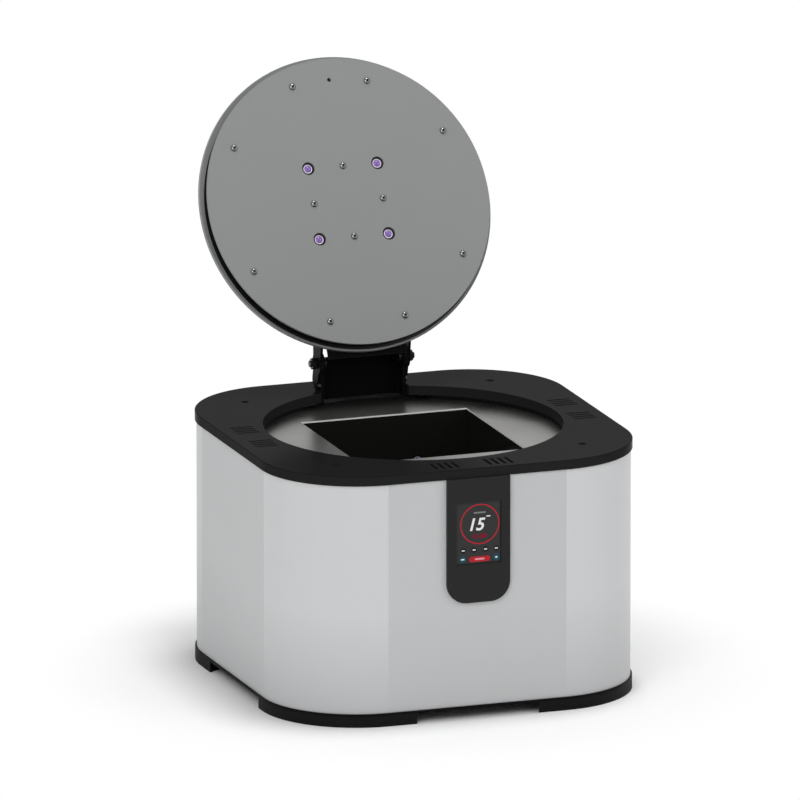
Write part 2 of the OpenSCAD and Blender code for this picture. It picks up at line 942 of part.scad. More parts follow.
// Fan rotor: a hub cup over the bearing tube, its shaft and tilted blades
module fan_rotor() color([0.12, 0.12, 0.12])
    translate([0, 0, floor_z]) {
        hub_z = fan_seat_t + fan_gap;
        hub_top = fan_h - fan_gap;
        difference() {
            translate([0, 0, hub_z])
                cylinder(r = fan_hub_r, h = hub_top - hub_z);
            translate([0, 0, fan_seat_t])
                cylinder(r = bearing_r + fan_gap, h = hub_top - hub_crown - fan_seat_t);
        }
        translate([0, 0, fan_seat_t - fan_gap])
            cylinder(r = fan_shaft_r, h = hub_top - hub_crown / 2 - fan_seat_t + fan_gap, $fn = 40);
        for (i = [0:blade_count - 1])
            rotate([0, 0, i * 360 / blade_count])
                fan_blade();
    }

// One blade: a flat vane tilted about its radius and trimmed to the fan's circle
module fan_blade()
    intersection() {
        difference() {
            translate([0, 0, fan_seat_t + blade_top])
                cylinder(r = blade_r, h = fan_h - fan_seat_t - 2 * blade_top);
            cylinder(r = fan_hub_r - over, h = fan_h);
        }
        translate([0, 0, fan_h / 2])
            rotate([blade_tilt, 0, 0])
                translate([0, -blade_wide / 2, -blade_t / 2])
                    cube([blade_r + over, blade_wide, blade_t]);
    }

module fan_screws() color([0.3, 0.3, 0.3])
    at_fan_holes()
        translate([0, 0, floor_z + fan_h])
            dome_screw(fan_h + base_t);

// Sensor under the inner plate, below the lid's magnet
module reed_sensor() color([0.12, 0.12, 0.12])
    translate([-sensor_l / 2, -magnet_r - sensor_w / 2, chamber_top - sensor_h])
        cube([sensor_l, sensor_w, sensor_h]);

// Mains inlet at the rear, with a six-sided socket and three blades
module power_inlet() color([0.09, 0.09, 0.09])
    translate([inlet_x, rear_y, inlet_z]) {
        difference() {
            union() {
                rotate([-90, 0, 0])
                    linear_extrude(inlet_flange_t)
                        slot(inlet_flange_w, inlet_flange_h);
                translate([-inlet_body_w / 2, -inlet_depth, -inlet_body_h / 2])
                    cube([inlet_body_w, inlet_depth + eps, inlet_body_h]);
            }
            translate([0, inlet_flange_t - cavity_d, 0])
                rotate([-90, 0, 0])
                    linear_extrude(cavity_d + over)
                        socket_outline();
            for (s = [-1, 1])
                translate([s * inlet_screw, -over, 0])
                    rotate([-90, 0, 0])
                        cylinder(r = hole_r, h = inlet_flange_t + 2 * over, $fn = 32);
        }
        for (p = [[-pin_off, -pin_low], [0, pin_high], [pin_off, -pin_low]])
            translate([p[0] - pin_w / 2, inlet_flange_t - cavity_d - over, p[1] - pin_h / 2])
                cube([pin_w, cavity_d - pin_short, pin_h]);
    }

// Outline of the inlet's socket, with two slanted corners
module socket_outline() {
    side = cavity_w / 2;
    end = cavity_h / 2;
    polygon([[-side, -end], [side, -end], [side, end - cavity_corner], [side - cavity_corner, end],
        [cavity_corner - side, end], [-side, end - cavity_corner]]);
}

// Housing of the power switch, open at the back of the cabinet for its rocker
module switch_housing() color([0.09, 0.09, 0.09])
    translate([-switch_x, rear_y, inlet_z])
        difference() {
            union() {
                translate([-switch_body_w / 2 - switch_rim, 0, -switch_body_h / 2 - switch_rim])
                    cube([switch_body_w + 2 * switch_rim, switch_flange, switch_body_h + 2 * switch_rim]);
                translate([-switch_body_w / 2, -switch_depth, -switch_body_h / 2])
                    cube([switch_body_w, switch_depth + eps, switch_body_h]);
            }
            translate([-well_w / 2, -switch_well, -well_h / 2])
                cube([well_w, switch_well + switch_flange + over, well_h]);
            translate([pin_end / 2 - switch_body_w / 2, -rocker_axis, 0])
                rotate([0, 90, 0])
                    cylinder(r = rocker_pin_r + pivot_play, h = switch_body_w - pin_end, $fn = 40);
        }

// Rocker of the power switch, tilted to its off position on its cross pin
module power_rocker() color([0.12, 0.12, 0.12])
    translate([-switch_x, rear_y - rocker_axis, inlet_z])
        rotate([-rocker_tilt, 0, 0])
            union() {
                rotate([90, 0, 90])
                    translate([0, 0, -rocker_w / 2])
                        linear_extrude(rocker_w)
                            rocker_outline();
                translate([pin_end - switch_body_w / 2, 0, 0])
                    rotate([0, 90, 0])
                        cylinder(r = rocker_pin_r, h = switch_body_w - 2 * pin_end, $fn = 40);
            }

// Side outline of the rocker, with two raised ends and a dip between them
module rocker_outline() {
    end = rocker_h / 2;
    polygon([[-rocker_low, -rocker_foot], [rocker_side, rocker_trim - end],
        [rocker_peak, 2 * rocker_trim - end], [rocker_dip, 0], [rocker_peak, end - 2 * rocker_trim],
        [rocker_side, end - rocker_trim], [-rocker_low, rocker_foot]]);
}

// Places the children at the four screws of the fixed hinge bracket
module at_bracket_screws() {
    for (s = [-1, 1], y = [bracket_front + flange_margin, bracket_back - flange_margin])
        translate([s * (bracket_half + flange_screw), y, 0])
            children();
}

// A cheek's side outline in Y and Z: a round end about the hinge axis on a straight foot
module base_cheek_outline() {
    translate([pivot_y, pivot_z])
        circle(cheek_r, $fn = 96);
    polygon([[bracket_front, bracket_low], [bracket_back, bracket_low], [bracket_back, web_top],
        [pivot_y, web_top], [pivot_y - cheek_core, pivot_z], [bracket_front, pivot_z - cheek_core]]);
}

// Fixed hinge bracket: two cheeks, a back web between them and two flanges that screw under the top plate
module base_hinge_bracket() color([0.1, 0.1, 0.1])
    difference() {
        union() {
            for (x = [-bracket_half, cheek_in])
                translate([x, 0, 0])
                    rotate([90, 0, 90])
                        linear_extrude(bracket_t)
                            base_cheek_outline();
            translate([-bracket_half, bracket_back - bracket_t, bracket_low])
                cube([2 * bracket_half, bracket_t, web_top - bracket_low]);
            for (x = [-flange_half, cheek_in])
                translate([x, bracket_front, bracket_low])
                    cube([flange_half - cheek_in, bracket_back - bracket_front, bracket_t]);
        }
        for (s = [-1, 1]) {
            translate([s * bracket_half, pivot_y, pivot_z])
                rotate([0, 90, 0])
                    cylinder(r = pivot_r + pivot_play, h = 4 * bracket_t, center = true, $fn = 48);
            translate([s * bracket_half, stop_y, stop_z])
                rotate([0, 90, 0])
                    cylinder(r = hole_r, h = 4 * bracket_t, center = true, $fn = 32);
        }
        at_bracket_screws()
            translate([0, 0, bracket_low - over])
                cylinder(r = hole_r, h = bracket_t + 2 * over, $fn = 32);
    }

module bracket_screws() color([0.4, 0.4, 0.4])
    at_bracket_screws()
        translate([0, 0, bracket_low])
            mirror([0, 0, 1])
                dome_screw(bracket_t + plate_bite);

// Pivot bolts with their heads inside the fixed bracket
module pivot_bolts() color([0.25, 0.25, 0.25])
    for (s = [0, 1])
        mirror([s, 0, 0])
            translate([0, pivot_y, pivot_z])
                rotate([0, 90, 0]) {
                    difference() {
                        translate([0, 0, cheek_in - bolt_head_t])
                            cylinder(r = bolt_head_r, h = bolt_head_t, $fn = 64);
                        translate([0, 0, cheek_in - bolt_head_t - over])
                            cylinder(r = bolt_socket_r, h = bolt_head_t, $fn = 6);
                    }
                    translate([0, 0, cheek_in - eps])
                        cylinder(r = pivot_r, h = bolt_end - cheek_in, $fn = 64);
                }

module pivot_nuts() color([0.3, 0.3, 0.3])
    for (s = [0, 1])
        mirror([s, 0, 0])
            translate([lid_cheek_out + washer_gap, pivot_y, pivot_z])
                rotate([0, 90, 0])
                    difference() {
                        cylinder(r = nut_r, h = nut_t, $fn = 6);
                        translate([0, 0, -over])
                            cylinder(r = pivot_r + pivot_play, h = nut_t + 2 * over, $fn = 64);
                    }

// Screws on which the lid's heels come to rest when it is open
module stop_screws() color([0.35, 0.35, 0.35])
    for (s = [0, 1])
        mirror([s, 0, 0])
            translate([bracket_half, stop_y, stop_z])
                rotate([0, 90, 0])
                    dome_screw(bracket_t, head = 2 * stop_head_r, high = stop_head_h);

// The lid's disc with its lamp holes, screw holes and the magnet's hole
module lid_disc() color([0.55, 0.55, 0.55])
    opened()
        translate([0, 0, disc_z])
            difference() {
                cylinder(r = disc_r, h = disc_t, $fn = 200);
                translate([0, 0, -over]) {
                    lid_holes(disc_t + 2 * over);
                    at_lamps()
                        cylinder(d = lamp_hole_d, h = disc_t + 2 * over, $fn = 48);
                    at_module_screws()
                        cylinder(r = hole_r, h = disc_t + 2 * over, $fn = 32);
                    translate([0, -magnet_r, 0])
                        cylinder(r = hole_r, h = disc_t + 2 * over, $fn = 32);
                }
            }

// The holes of the rim screws
module lid_holes(h)
    at_rim()
        cylinder(r = hole_r, h = h, $fn = 32);

module lid_spacer() color([0.06, 0.06, 0.06])
    opened()
        translate([0, 0, spacer_z])
            difference() {
                cylinder(r = spacer_r, h = spacer_t, $fn = 200);
                translate([0, 0, -over]) {
                    cylinder(r = spacer_r - spacer_band, h = spacer_t + 2 * over, $fn = 160);
                    lid_holes(spacer_t + 2 * over);
                    translate([0, -magnet_r, 0])
                        cylinder(d = magnet_d + 2 * magnet_play, h = magnet_t + over + magnet_play, $fn = 48);
                }
            }

module lid_magnet() color("silver")
    opened()
        translate([0, -magnet_r, spacer_z])
            cylinder(d = magnet_d, h = magnet_t, $fn = 48);

// Cover of the lid, which laps over the round opening when the lid is closed
module lid_cover() color([0.42, 0.42, 0.42])
    opened()
        translate([0, 0, cover_z])
            difference() {
                union() {
                    cylinder(r = cover_r, h = cover_t - top_chamfer, $fn = 200);
                    translate([0, 0, cover_t - top_chamfer])
                        cylinder(r1 = cover_r, r2 = cover_r - top_chamfer, h = top_chamfer, $fn = 200);
                }
                translate([0, 0, -over])
                    lid_holes(cover_t - cover_skin + over);
                at_lid_bracket_screws()
                    translate([0, 0, cover_skin])
                        cylinder(r = hole_r, h = cover_t, $fn = 32);
            }

module lid_led_board() color([0.08, 0.08, 0.08])
    opened()
        translate([0, 0, spacer_z + board_t])
            module_board();

module lid_heat_spreader() color([0.7, 0.7, 0.72])
    opened()
        translate([0, 0, spacer_z + board_t])
            difference() {
                translate([-module_w / 2, -module_w / 2, 0])
                    cube([module_w, module_w, spacer_t - board_t]);
                at_module_screws()
                    translate([0, 0, -over])
                        cylinder(r = hole_r, h = spreader_bite + sink_skin + over, $fn = 32);
            }

module lid_leds() color([0.55, 0.42, 0.75])
    opened()
        translate([0, 0, spacer_z])
            mirror([0, 0, 1])
                at_lamps()
                    lamp();

module lid_rim_screws() color([0.8, 0.8, 0.8])
    opened()
        translate([0, 0, disc_z])
            mirror([0, 0, 1])
                at_rim()
                    dome_screw(disc_t + spacer_t + rim_bite);

module lid_led_screws() color([0.8, 0.8, 0.8])
    opened()
        translate([0, 0, disc_z])
            mirror([0, 0, 1])
                at_module_screws()
                    dome_screw(disc_t + board_t + spreader_bite);

// Places the children at the screws of the lid's bracket
module at_lid_bracket_screws() {
    for (s = [-1, 1], y = [lid_plate_front + plate_screw_front, lid_plate_back - plate_screw_back])
        translate([s * plate_screw_x, y, 0])
            children();
}

// Side outline of a moving cheek about the hinge axis, in Y and Z, with the heel that meets the stop
module lid_cheek_outline() {
    low = cover_top - pivot_z;
    front = cheek_front - pivot_y;
    circle(cheek_r, $fn = 96);
    polygon([[front, low], [lid_plate_back - pivot_y, low],
        [cheek_core * cos(cheek_root), -cheek_core * sin(cheek_root)], [0, cheek_core],
        [front, low + cheek_rise]]);
    difference() {
        heel_outline();
        rotate(open_angle)
            translate([stop_y - pivot_y, stop_z - pivot_z])
                circle(stop_head_r + stop_gap, $fn = 64);
    }
}

// The heel: a lobe that stands out from the cheek's round end
module heel_outline()
    rotate(heel_angle) {
        translate([0, -heel_r])
            square([heel_out, 2 * heel_r]);
        translate([heel_out, 0])
            circle(heel_r, $fn = 64);
    }

// Moving hinge bracket: a plate on the cover, a tongue between the cheeks and two outer cheeks
module lid_hinge_bracket() color([0.1, 0.1, 0.1])
    opened()
        difference() {
            union() {
                translate([-lid_cheek_out, lid_plate_front, cover_top])
                    cube([2 * lid_cheek_out, lid_plate_back - lid_plate_front, bracket_t]);
                translate([-tongue_half, lid_plate_back - over, cover_top])
                    cube([2 * tongue_half, tongue_back - lid_plate_back + over, bracket_t]);
                for (s = [0, 1])
                    mirror([s, 0, 0])
                        translate([lid_cheek_in, pivot_y, pivot_z])
                            rotate([90, 0, 90])
                                linear_extrude(bracket_t)
                                    lid_cheek_outline();
            }
            for (s = [-1, 1])
                translate([s * lid_cheek_in, pivot_y, pivot_z])
                    rotate([0, 90, 0])
                        cylinder(r = pivot_r + pivot_play, h = 4 * bracket_t, center = true, $fn = 48);
            at_lid_bracket_screws()
                translate([0, 0, cover_top - over])
                    cylinder(r = hole_r, h = bracket_t + 2 * over, $fn = 32);
        }

module lid_bracket_screws() color([0.5, 0.5, 0.5])
    opened()
        at_lid_bracket_screws()
            translate([0, 0, cover_top + bracket_t])
                dome_screw(bracket_t + lid_plate_bite);

base_plate();
foot_front_left();
foot_front_right();
foot_rear_left();
foot_rear_right();
foot_screws();
cabinet_shell();
corner_posts();
post_screws();
top_plate();
top_plate_screws();
inner_plate();
inner_plate_screws();
light_seal();
chamber_front_wall();
chamber_back_wall();
chamber_left_wall();
chamber_right_wall();
chamber_floor();
floor_posts();
led_board_front();
led_board_back();
led_board_left();
led_board_right();
heat_sink_front();
heat_sink_back();
heat_sink_left();
heat_sink_right();
wall_leds();
wall_module_screws();
front_panel();
display_glass();
display_module();
controller_board();
board_standoffs();
power_supply();
fan_frame();
fan_rotor();
fan_screws();
reed_sensor();
power_inlet();
switch_housing();
power_rocker();
base_hinge_bracket();
bracket_screws();
pivot_bolts();
pivot_nuts();
stop_screws();
lid_disc();
lid_spacer();
lid_cover();
lid_led_board();
lid_heat_spreader();
lid_leds();
lid_rim_screws();
lid_led_screws();
lid_hinge_bracket();
lid_bracket_screws();
lid_magnet();
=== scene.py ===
# %% [markdown]
# # A light curing unit for a dental laboratory
# The unit is a square cabinet with large round corners, a black top plate, and a round lid that stands open
# on a hinge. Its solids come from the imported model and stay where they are. This script dresses them: it
# sets up the camera, the light and the floor, gives each piece its finish, and adds the small parts that a
# solid model leaves plain.

# %% Load the frame
import json
import math

import bmesh
import bpy
from mathutils import Matrix, Vector


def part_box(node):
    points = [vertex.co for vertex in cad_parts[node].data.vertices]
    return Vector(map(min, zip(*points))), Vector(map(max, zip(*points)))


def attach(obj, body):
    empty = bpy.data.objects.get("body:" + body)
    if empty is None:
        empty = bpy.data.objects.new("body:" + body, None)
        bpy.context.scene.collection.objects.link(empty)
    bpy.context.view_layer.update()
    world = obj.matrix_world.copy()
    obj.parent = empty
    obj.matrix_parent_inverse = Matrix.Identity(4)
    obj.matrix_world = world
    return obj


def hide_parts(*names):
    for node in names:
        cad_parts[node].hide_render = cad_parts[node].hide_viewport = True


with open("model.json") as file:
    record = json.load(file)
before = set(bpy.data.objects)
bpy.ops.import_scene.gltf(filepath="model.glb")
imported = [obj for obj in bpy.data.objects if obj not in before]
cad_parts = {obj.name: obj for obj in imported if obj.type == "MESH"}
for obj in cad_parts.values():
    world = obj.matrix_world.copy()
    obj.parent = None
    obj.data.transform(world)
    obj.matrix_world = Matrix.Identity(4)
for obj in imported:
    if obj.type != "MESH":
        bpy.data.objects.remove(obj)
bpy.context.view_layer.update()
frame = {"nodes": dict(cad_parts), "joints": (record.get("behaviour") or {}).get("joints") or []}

nodes = frame["nodes"]
MM = 0.001
print("nodes", len(nodes))

# %% [markdown]
# ## Camera
# The photograph looks at the unit a little from the left and from above, and its lines stay almost parallel.
# A camera without perspective would come close. Here the camera stands 20 m away instead, behind a lens that
# makes the picture 622 mm wide at the unit, because that keeps a trace of perspective.

# %% Camera
camera_azimuth = math.radians(-19.557)
camera_elevation = math.radians(14.268)
camera_distance = 20.0
camera_reach = 100.0
sensor_width = 36.0
picture_width = 0.62176
aim = Vector((-0.00818, 0.00752, 0.2171))


def add_object(name, data):
    """A new object in the scene that holds the data, at the origin."""
    made = bpy.data.objects.new(name, data)
    bpy.context.scene.collection.objects.link(made)
    return made


scene = bpy.context.scene
camera_data = bpy.data.cameras.new("camera")
camera_data.sensor_width = sensor_width
camera_data.lens = sensor_width * camera_distance / picture_width
camera_data.clip_end = camera_reach
camera = add_object("camera", camera_data)
towards = Vector((
    math.sin(camera_azimuth) * math.cos(camera_elevation),
    -math.cos(camera_azimuth) * math.cos(camera_elevation),
    math.sin(camera_elevation)))
camera.location = aim + towards * camera_distance
camera.rotation_euler = (-towards).to_track_quat("-Z", "Y").to_euler()
scene.camera = camera
scene.view_settings.view_transform = "Standard"
print("lens", round(camera_data.lens), "mm")

# %% [markdown]
# ## Lamps
# The photograph shows soft light, and a small bright spot on each screw. A bright sky alone would be soft
# too, but it would make all sides look alike. So a large lamp stands high at the front left, a weaker one
# stands at the right, and a small one above the middle gives the screws their spots.

# %% Lamps of the studio
lamp_target = Vector((0, 0, 0.2))
studio_lamps = {
    "key_light": {"place": (-1.8, -2.2, 2.0), "size": 1.6, "power": 30},
    "fill_light": {"place": (2.2, -1.6, 1.6), "size": 1.6, "power": 12},
    "top_light": {"place": (0.3, 0.0, 2.8), "size": 0.6, "power": 24},
}
for name, lamp_facts in studio_lamps.items():
    light = bpy.data.lights.new(name, "AREA")
    light.size = lamp_facts["size"]
    light.energy = lamp_facts["power"]
    lamp = add_object(name, light)
    lamp.location = lamp_facts["place"]
    lamp.rotation_euler = (lamp_target - lamp.location).to_track_quat("-Z", "Y").to_euler()
    print(name, lamp_facts["power"], "W")

# %% [markdown]
# ## Background
# Behind the unit all is plain white. Stronger lamps could whiten a floor, but they would wash out the unit.
# So the sky lights the unit at less than half its white, and only rays that come straight from the camera,
# off gloss or through glass see it as full white. The far floor does the same, while the floor near the unit
# stays matt and keeps its shadow.


# %% Sky
def add_node(tree, kind, place, inputs=None, **settings):
    """A node with its settings and its inputs: a socket is linked to the input, a value is set on it."""
    node = tree.nodes.new(kind)
    node.location = place
    for key, value in settings.items():
        setattr(node, key, value)
    for key, value in (inputs or {}).items():
        if isinstance(value, bpy.types.NodeSocket):
            tree.links.new(value, node.inputs[key])
        else:
            node.inputs[key].default_value = value
    return node


def calculate(tree, operation, first, second=None, place=(0, 0)):
    """The result of one Math node as a socket."""
    terms = {0: first} if second is None else {0: first, 1: second}
    return add_node(tree, "ShaderNodeMath", place, terms, operation=operation).outputs[0]


def background_share(tree, place):
    """1 for a ray that comes straight from the camera, off gloss or through glass, and 0 for others."""
    path = add_node(tree, "ShaderNodeLightPath", place)
    plain = calculate(tree, "MAXIMUM", path.outputs["Is Camera Ray"], path.outputs["Is Glossy Ray"],
                      (place[0] + 200, place[1]))
    return calculate(tree, "MAXIMUM", plain, path.outputs["Is Transmission Ray"],
                     (place[0] + 400, place[1]))


ambient_strength = 0.45
full_white = (1, 1, 1, 1)
world = bpy.data.worlds.new("studio")
world.use_nodes = True
scene.world = world
sky = world.node_tree
sky_light = sky.nodes["Background"]
sky_light.inputs["Color"].default_value = full_white
sky_light.inputs["Strength"].default_value = ambient_strength
sky_white = add_node(sky, "ShaderNodeBackground", (0, -150), {"Color": full_white})
sky_mix = add_node(sky, "ShaderNodeMixShader", (250, 100), {
    0: background_share(sky, (-500, 300)), 1: sky_light.outputs[0], 2: sky_white.outputs[0]})
sky.links.new(sky_mix.outputs[0], sky.nodes["World Output"].inputs["Surface"])
print("sky strength", ambient_strength)


# %% Floor
def mesh_from(name, points, faces):
    """A mesh from points in metres and faces as lists of point numbers."""
    mesh = bpy.data.meshes.new(name)
    mesh.from_pydata([tuple(p) for p in points], [], faces)
    mesh.validate()
    return mesh


floor_half = 6.0
floor_rough = 0.9
floor_white = (0.98, 0.98, 0.98, 1)
shadow_reach = (0.16, 0.30)
floor_corners = [(-1, -1), (1, -1), (1, 1), (-1, 1)]
floor_points = [(x * floor_half, y * floor_half, 0) for x, y in floor_corners]
floor = add_object("floor", mesh_from("floor", floor_points, [[0, 1, 2, 3]]))
paper = bpy.data.materials.new("pale_floor")
paper.use_nodes = True
sheet = paper.node_tree
matt = sheet.nodes["Principled BSDF"]
matt.inputs["Base Color"].default_value = floor_white
matt.inputs["Roughness"].default_value = floor_rough
matt.inputs["Specular IOR Level"].default_value = 0.0
glow = add_node(sheet, "ShaderNodeEmission", (0, -400))
spot = add_node(sheet, "ShaderNodeTexCoord", (-900, -200))
reach = add_node(sheet, "ShaderNodeVectorMath", (-700, -200), {0: spot.outputs["Object"]},
                 operation="LENGTH")
fade = add_node(sheet, "ShaderNodeMapRange", (-500, -200), {
    "Value": reach.outputs["Value"], "From Min": shadow_reach[0], "From Max": shadow_reach[1]},
    interpolation_type="SMOOTHSTEP")
far_share = calculate(sheet, "MULTIPLY", fade.outputs["Result"], background_share(sheet, (-900, 300)),
                      (-250, -200))
paper_mix = add_node(sheet, "ShaderNodeMixShader", (300, 100), {
    0: far_share, 1: matt.outputs[0], 2: glow.outputs[0]})
sheet.links.new(paper_mix.outputs[0], sheet.nodes["Material Output"].inputs["Surface"])
floor.data.materials.append(paper)
print("floor fades to white from", shadow_reach[0], "to", shadow_reach[1], "m")

# %% [markdown]
# ## Shared effects
# Four effects come back in several finishes: a fine grain that bumps paint and moulded plastic, soft smudges
# that vary the gloss, bare edges, where sheet metal was cut or paint has worn through, and upright cuts, the
# narrow sides of a flat sheet. On the lamp lenses, the same edge mask carries a painted highlight instead of
# wear. Each could be built again in every material, but as a node group with named inputs it is built once
# and stays the same everywhere.


# %% Grain and smudges
def new_group(name, inputs, output):
    """An empty shader group with float inputs, given as (name, value, low, high), and one float output."""
    group = bpy.data.node_groups.new(name, "ShaderNodeTree")
    for label, value, low, high in inputs:
        socket = group.interface.new_socket(name=label, in_out="INPUT", socket_type="NodeSocketFloat")
        socket.default_value = value
        socket.min_value = low
        socket.max_value = high
    group.interface.new_socket(name=output, in_out="OUTPUT", socket_type="NodeSocketFloat")
    entry = add_node(group, "NodeGroupInput", (-900, 0))
    leave = add_node(group, "NodeGroupOutput", (700, 0))
    return group, entry.outputs, leave.inputs[output]


grain_group, entry, leave = new_group(
    "fine_grain", [("Scale", 900.0, 1.0, 5000.0), ("Detail", 3.0, 0.0, 10.0)], "Height")
grain_place = add_node(grain_group, "ShaderNodeTexCoord", (-900, 250))
grain_noise = add_node(grain_group, "ShaderNodeTexNoise", (-400, 100), {
    "Vector": grain_place.outputs["Object"], "Scale": entry["Scale"], "Detail": entry["Detail"]})
grain_group.links.new(grain_noise.outputs["Fac"], leave)

noise_range = (0.3, 0.7)
smudge_group, entry, leave = new_group(
    "soft_smudges", [("Scale", 14.0, 1.0, 200.0), ("Low", 0.3, 0.0, 1.0), ("High", 0.4, 0.0, 1.0)], "Value")
smudge_place = add_node(smudge_group, "ShaderNodeTexCoord", (-900, 250))
smudge_noise = add_node(smudge_group, "ShaderNodeTexNoise", (-500, 150), {
    "Vector": smudge_place.outputs["Object"], "Scale": entry["Scale"], "Detail": 5.0, "Distortion": 0.8})
smudge_range = add_node(smudge_group, "ShaderNodeMapRange", (-100, 100), {
    "Value": smudge_noise.outputs["Fac"], "From Min": noise_range[0], "From Max": noise_range[1],
    "To Min": entry["Low"], "To Max": entry["High"]})
smudge_group.links.new(smudge_range.outputs["Result"], leave)
print("groups", grain_group.name, smudge_group.name)

# %% [markdown]
# The edge mask compares the true normal with one that is rounded over a small radius: where they differ,
# there is an edge. Upright cuts look at how steep the true normal is, so they fit only sheets that lie
# level.

# %% Edge mask and upright cuts
edge_group, entry, leave = new_group(
    "worn_and_highlit_edges", [("Radius", 0.0004, 0.0, 0.01), ("Spread", 0.2, 0.01, 1.0)], "Mask")
edge_round = add_node(edge_group, "ShaderNodeBevel", (-600, 200), {"Radius": entry["Radius"]}, samples=6)
edge_true = add_node(edge_group, "ShaderNodeNewGeometry", (-600, -100))
edge_dot = add_node(edge_group, "ShaderNodeVectorMath", (-350, 100), {
    0: edge_round.outputs["Normal"], 1: edge_true.outputs["Normal"]}, operation="DOT_PRODUCT")
edge_range = add_node(edge_group, "ShaderNodeMapRange", (100, 100), {
    "Value": edge_dot.outputs["Value"], "From Min": 1.0,
    "From Max": calculate(edge_group, "SUBTRACT", 1.0, entry["Spread"], (-150, -100))})
edge_group.links.new(edge_range.outputs["Result"], leave)

cut_group, entry, leave = new_group("upright_cuts", [("Steepest", 0.5, 0.0, 1.0)], "Mask")
cut_true = add_node(cut_group, "ShaderNodeNewGeometry", (-700, 200))
cut_split = add_node(cut_group, "ShaderNodeSeparateXYZ", (-500, 200), {0: cut_true.outputs["True Normal"]})
cut_rise = calculate(cut_group, "ABSOLUTE", cut_split.outputs["Z"], place=(-300, 200))
cut_group.links.new(calculate(cut_group, "LESS_THAN", cut_rise, entry["Steepest"], (0, 100)), leave)
print("groups", edge_group.name, cut_group.name)

# %% [markdown]
# ## Finishes
# Real paint, plastic and metal are never quite even. So one function starts every finish with a base colour,
# a gloss that varies with the smudges, and a grain that bumps the surface. Where an edge colour is given,
# the edges show it: bare metal and worn paint on most finishes, and a painted highlight on the lens. Numbers
# that are the same everywhere go straight on the shader's own sockets.


# %% Finish builder
def tone(red, green, blue):
    """A screen colour, from 0 to 255, as linear red, green, blue and alpha, by the standard screen curve."""
    parts = []
    for value in (red, green, blue):
        share = value / 255
        parts.append(share / 12.92 if share <= 0.04045 else ((share + 0.055) / 1.055) ** 2.4)
    return (*parts, 1.0)


def blend_colour(tree, first, second, share, place=(-300, 250)):
    """Mixes two colours, or a colour and a socket, by a share. Returns the result's socket."""
    mix = add_node(tree, "ShaderNodeMix", place, {0: share, 6: first, 7: second}, data_type="RGBA")
    return mix.outputs[2]


def finish(name, colour, rough=(0.4, 0.5), metal=0.0, specular=0.5, grain=(900.0, 0.00002), smudge=14.0,
           edge=None):
    """A material with varied gloss and fine grain, and with coloured edges where edge gives them: worn metal
    and paint on most finishes, and a painted highlight on the lens.

    rough is the range of the roughness, grain its scale and depth, and edge a radius, a spread and a
    colour.
    """
    made = bpy.data.materials.new(name)
    made.use_nodes = True
    tree = made.node_tree
    shader = tree.nodes["Principled BSDF"]
    shader.inputs["Base Color"].default_value = colour
    shader.inputs["Metallic"].default_value = metal
    shader.inputs["Specular IOR Level"].default_value = specular
    smudges = add_node(tree, "ShaderNodeGroup", (-500, 0), node_tree=smudge_group)
    smudges.inputs["Scale"].default_value = smudge
    smudges.inputs["Low"].default_value = rough[0]
    smudges.inputs["High"].default_value = rough[1]
    tree.links.new(smudges.outputs["Value"], shader.inputs["Roughness"])
    grains = add_node(tree, "ShaderNodeGroup", (-700, -300), node_tree=grain_group)
    grains.inputs["Scale"].default_value = grain[0]
    bump = add_node(tree, "ShaderNodeBump", (-350, -300), {
        "Distance": grain[1], "Height": grains.outputs["Height"]})
    tree.links.new(bump.outputs["Normal"], shader.inputs["Normal"])
    if edge:
        radius, spread, edge_colour = edge
        edges = add_node(tree, "ShaderNodeGroup", (-600, 450), node_tree=edge_group)
        edges.inputs["Radius"].default_value = radius
        edges.inputs["Spread"].default_value = spread
        tree.links.new(blend_colour(tree, colour, edge_colour, edges.outputs["Mask"]), shader.inputs["Base Color"])
    print("finish", name)
    return made


def dress(material, *names):
    """Gives one finish to CAD nodes."""
    for name in names:
        mesh = nodes[name].data
        mesh.materials.clear()
        mesh.materials.append(material)
        for face in mesh.polygons:
            face.material_index = 0
    print(material.name, "dresses", len(names), "nodes")


# %% [markdown]
# ## Cabinet paint
# The cabinet is bent sheet in fine silver-grey paint. In the photograph its round corners read a little
# lighter than the flats between them, with a crisp change where flat meets corner, and the sheet darkens
# towards the table. Both come from how light falls on it, and lamps alone could do this for one side. Here
# they are painted into the colour instead, as a painted highlight on the corners and painted shade towards
# the table. The colour follows the object's own coordinates, so it stays in place from every side.

# %% Cabinet paint
cabinet_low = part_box("cabinet_shell")[0]
top_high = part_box("top_plate")[1]
corner_radius = 0.077
flat_half = top_high.x - corner_radius
# Height of the painted shade towards the table.
low_shade_band = 0.08
paint = finish("silver_paint", tone(203, 204, 205), rough=(0.38, 0.46), specular=0.35,
               grain=(1400.0, 0.00001), smudge=5.0)
tree = paint.node_tree
spot = add_node(tree, "ShaderNodeTexCoord", (-1500, 500))
split = add_node(tree, "ShaderNodeSeparateXYZ", (-1300, 500), {0: spot.outputs["Object"]})
past_flat = []
for axis, row in (("X", 600), ("Y", 450)):
    out = calculate(tree, "ABSOLUTE", split.outputs[axis], place=(-1100, row))
    past_flat.append(calculate(tree, "GREATER_THAN", out, flat_half, (-900, row)))
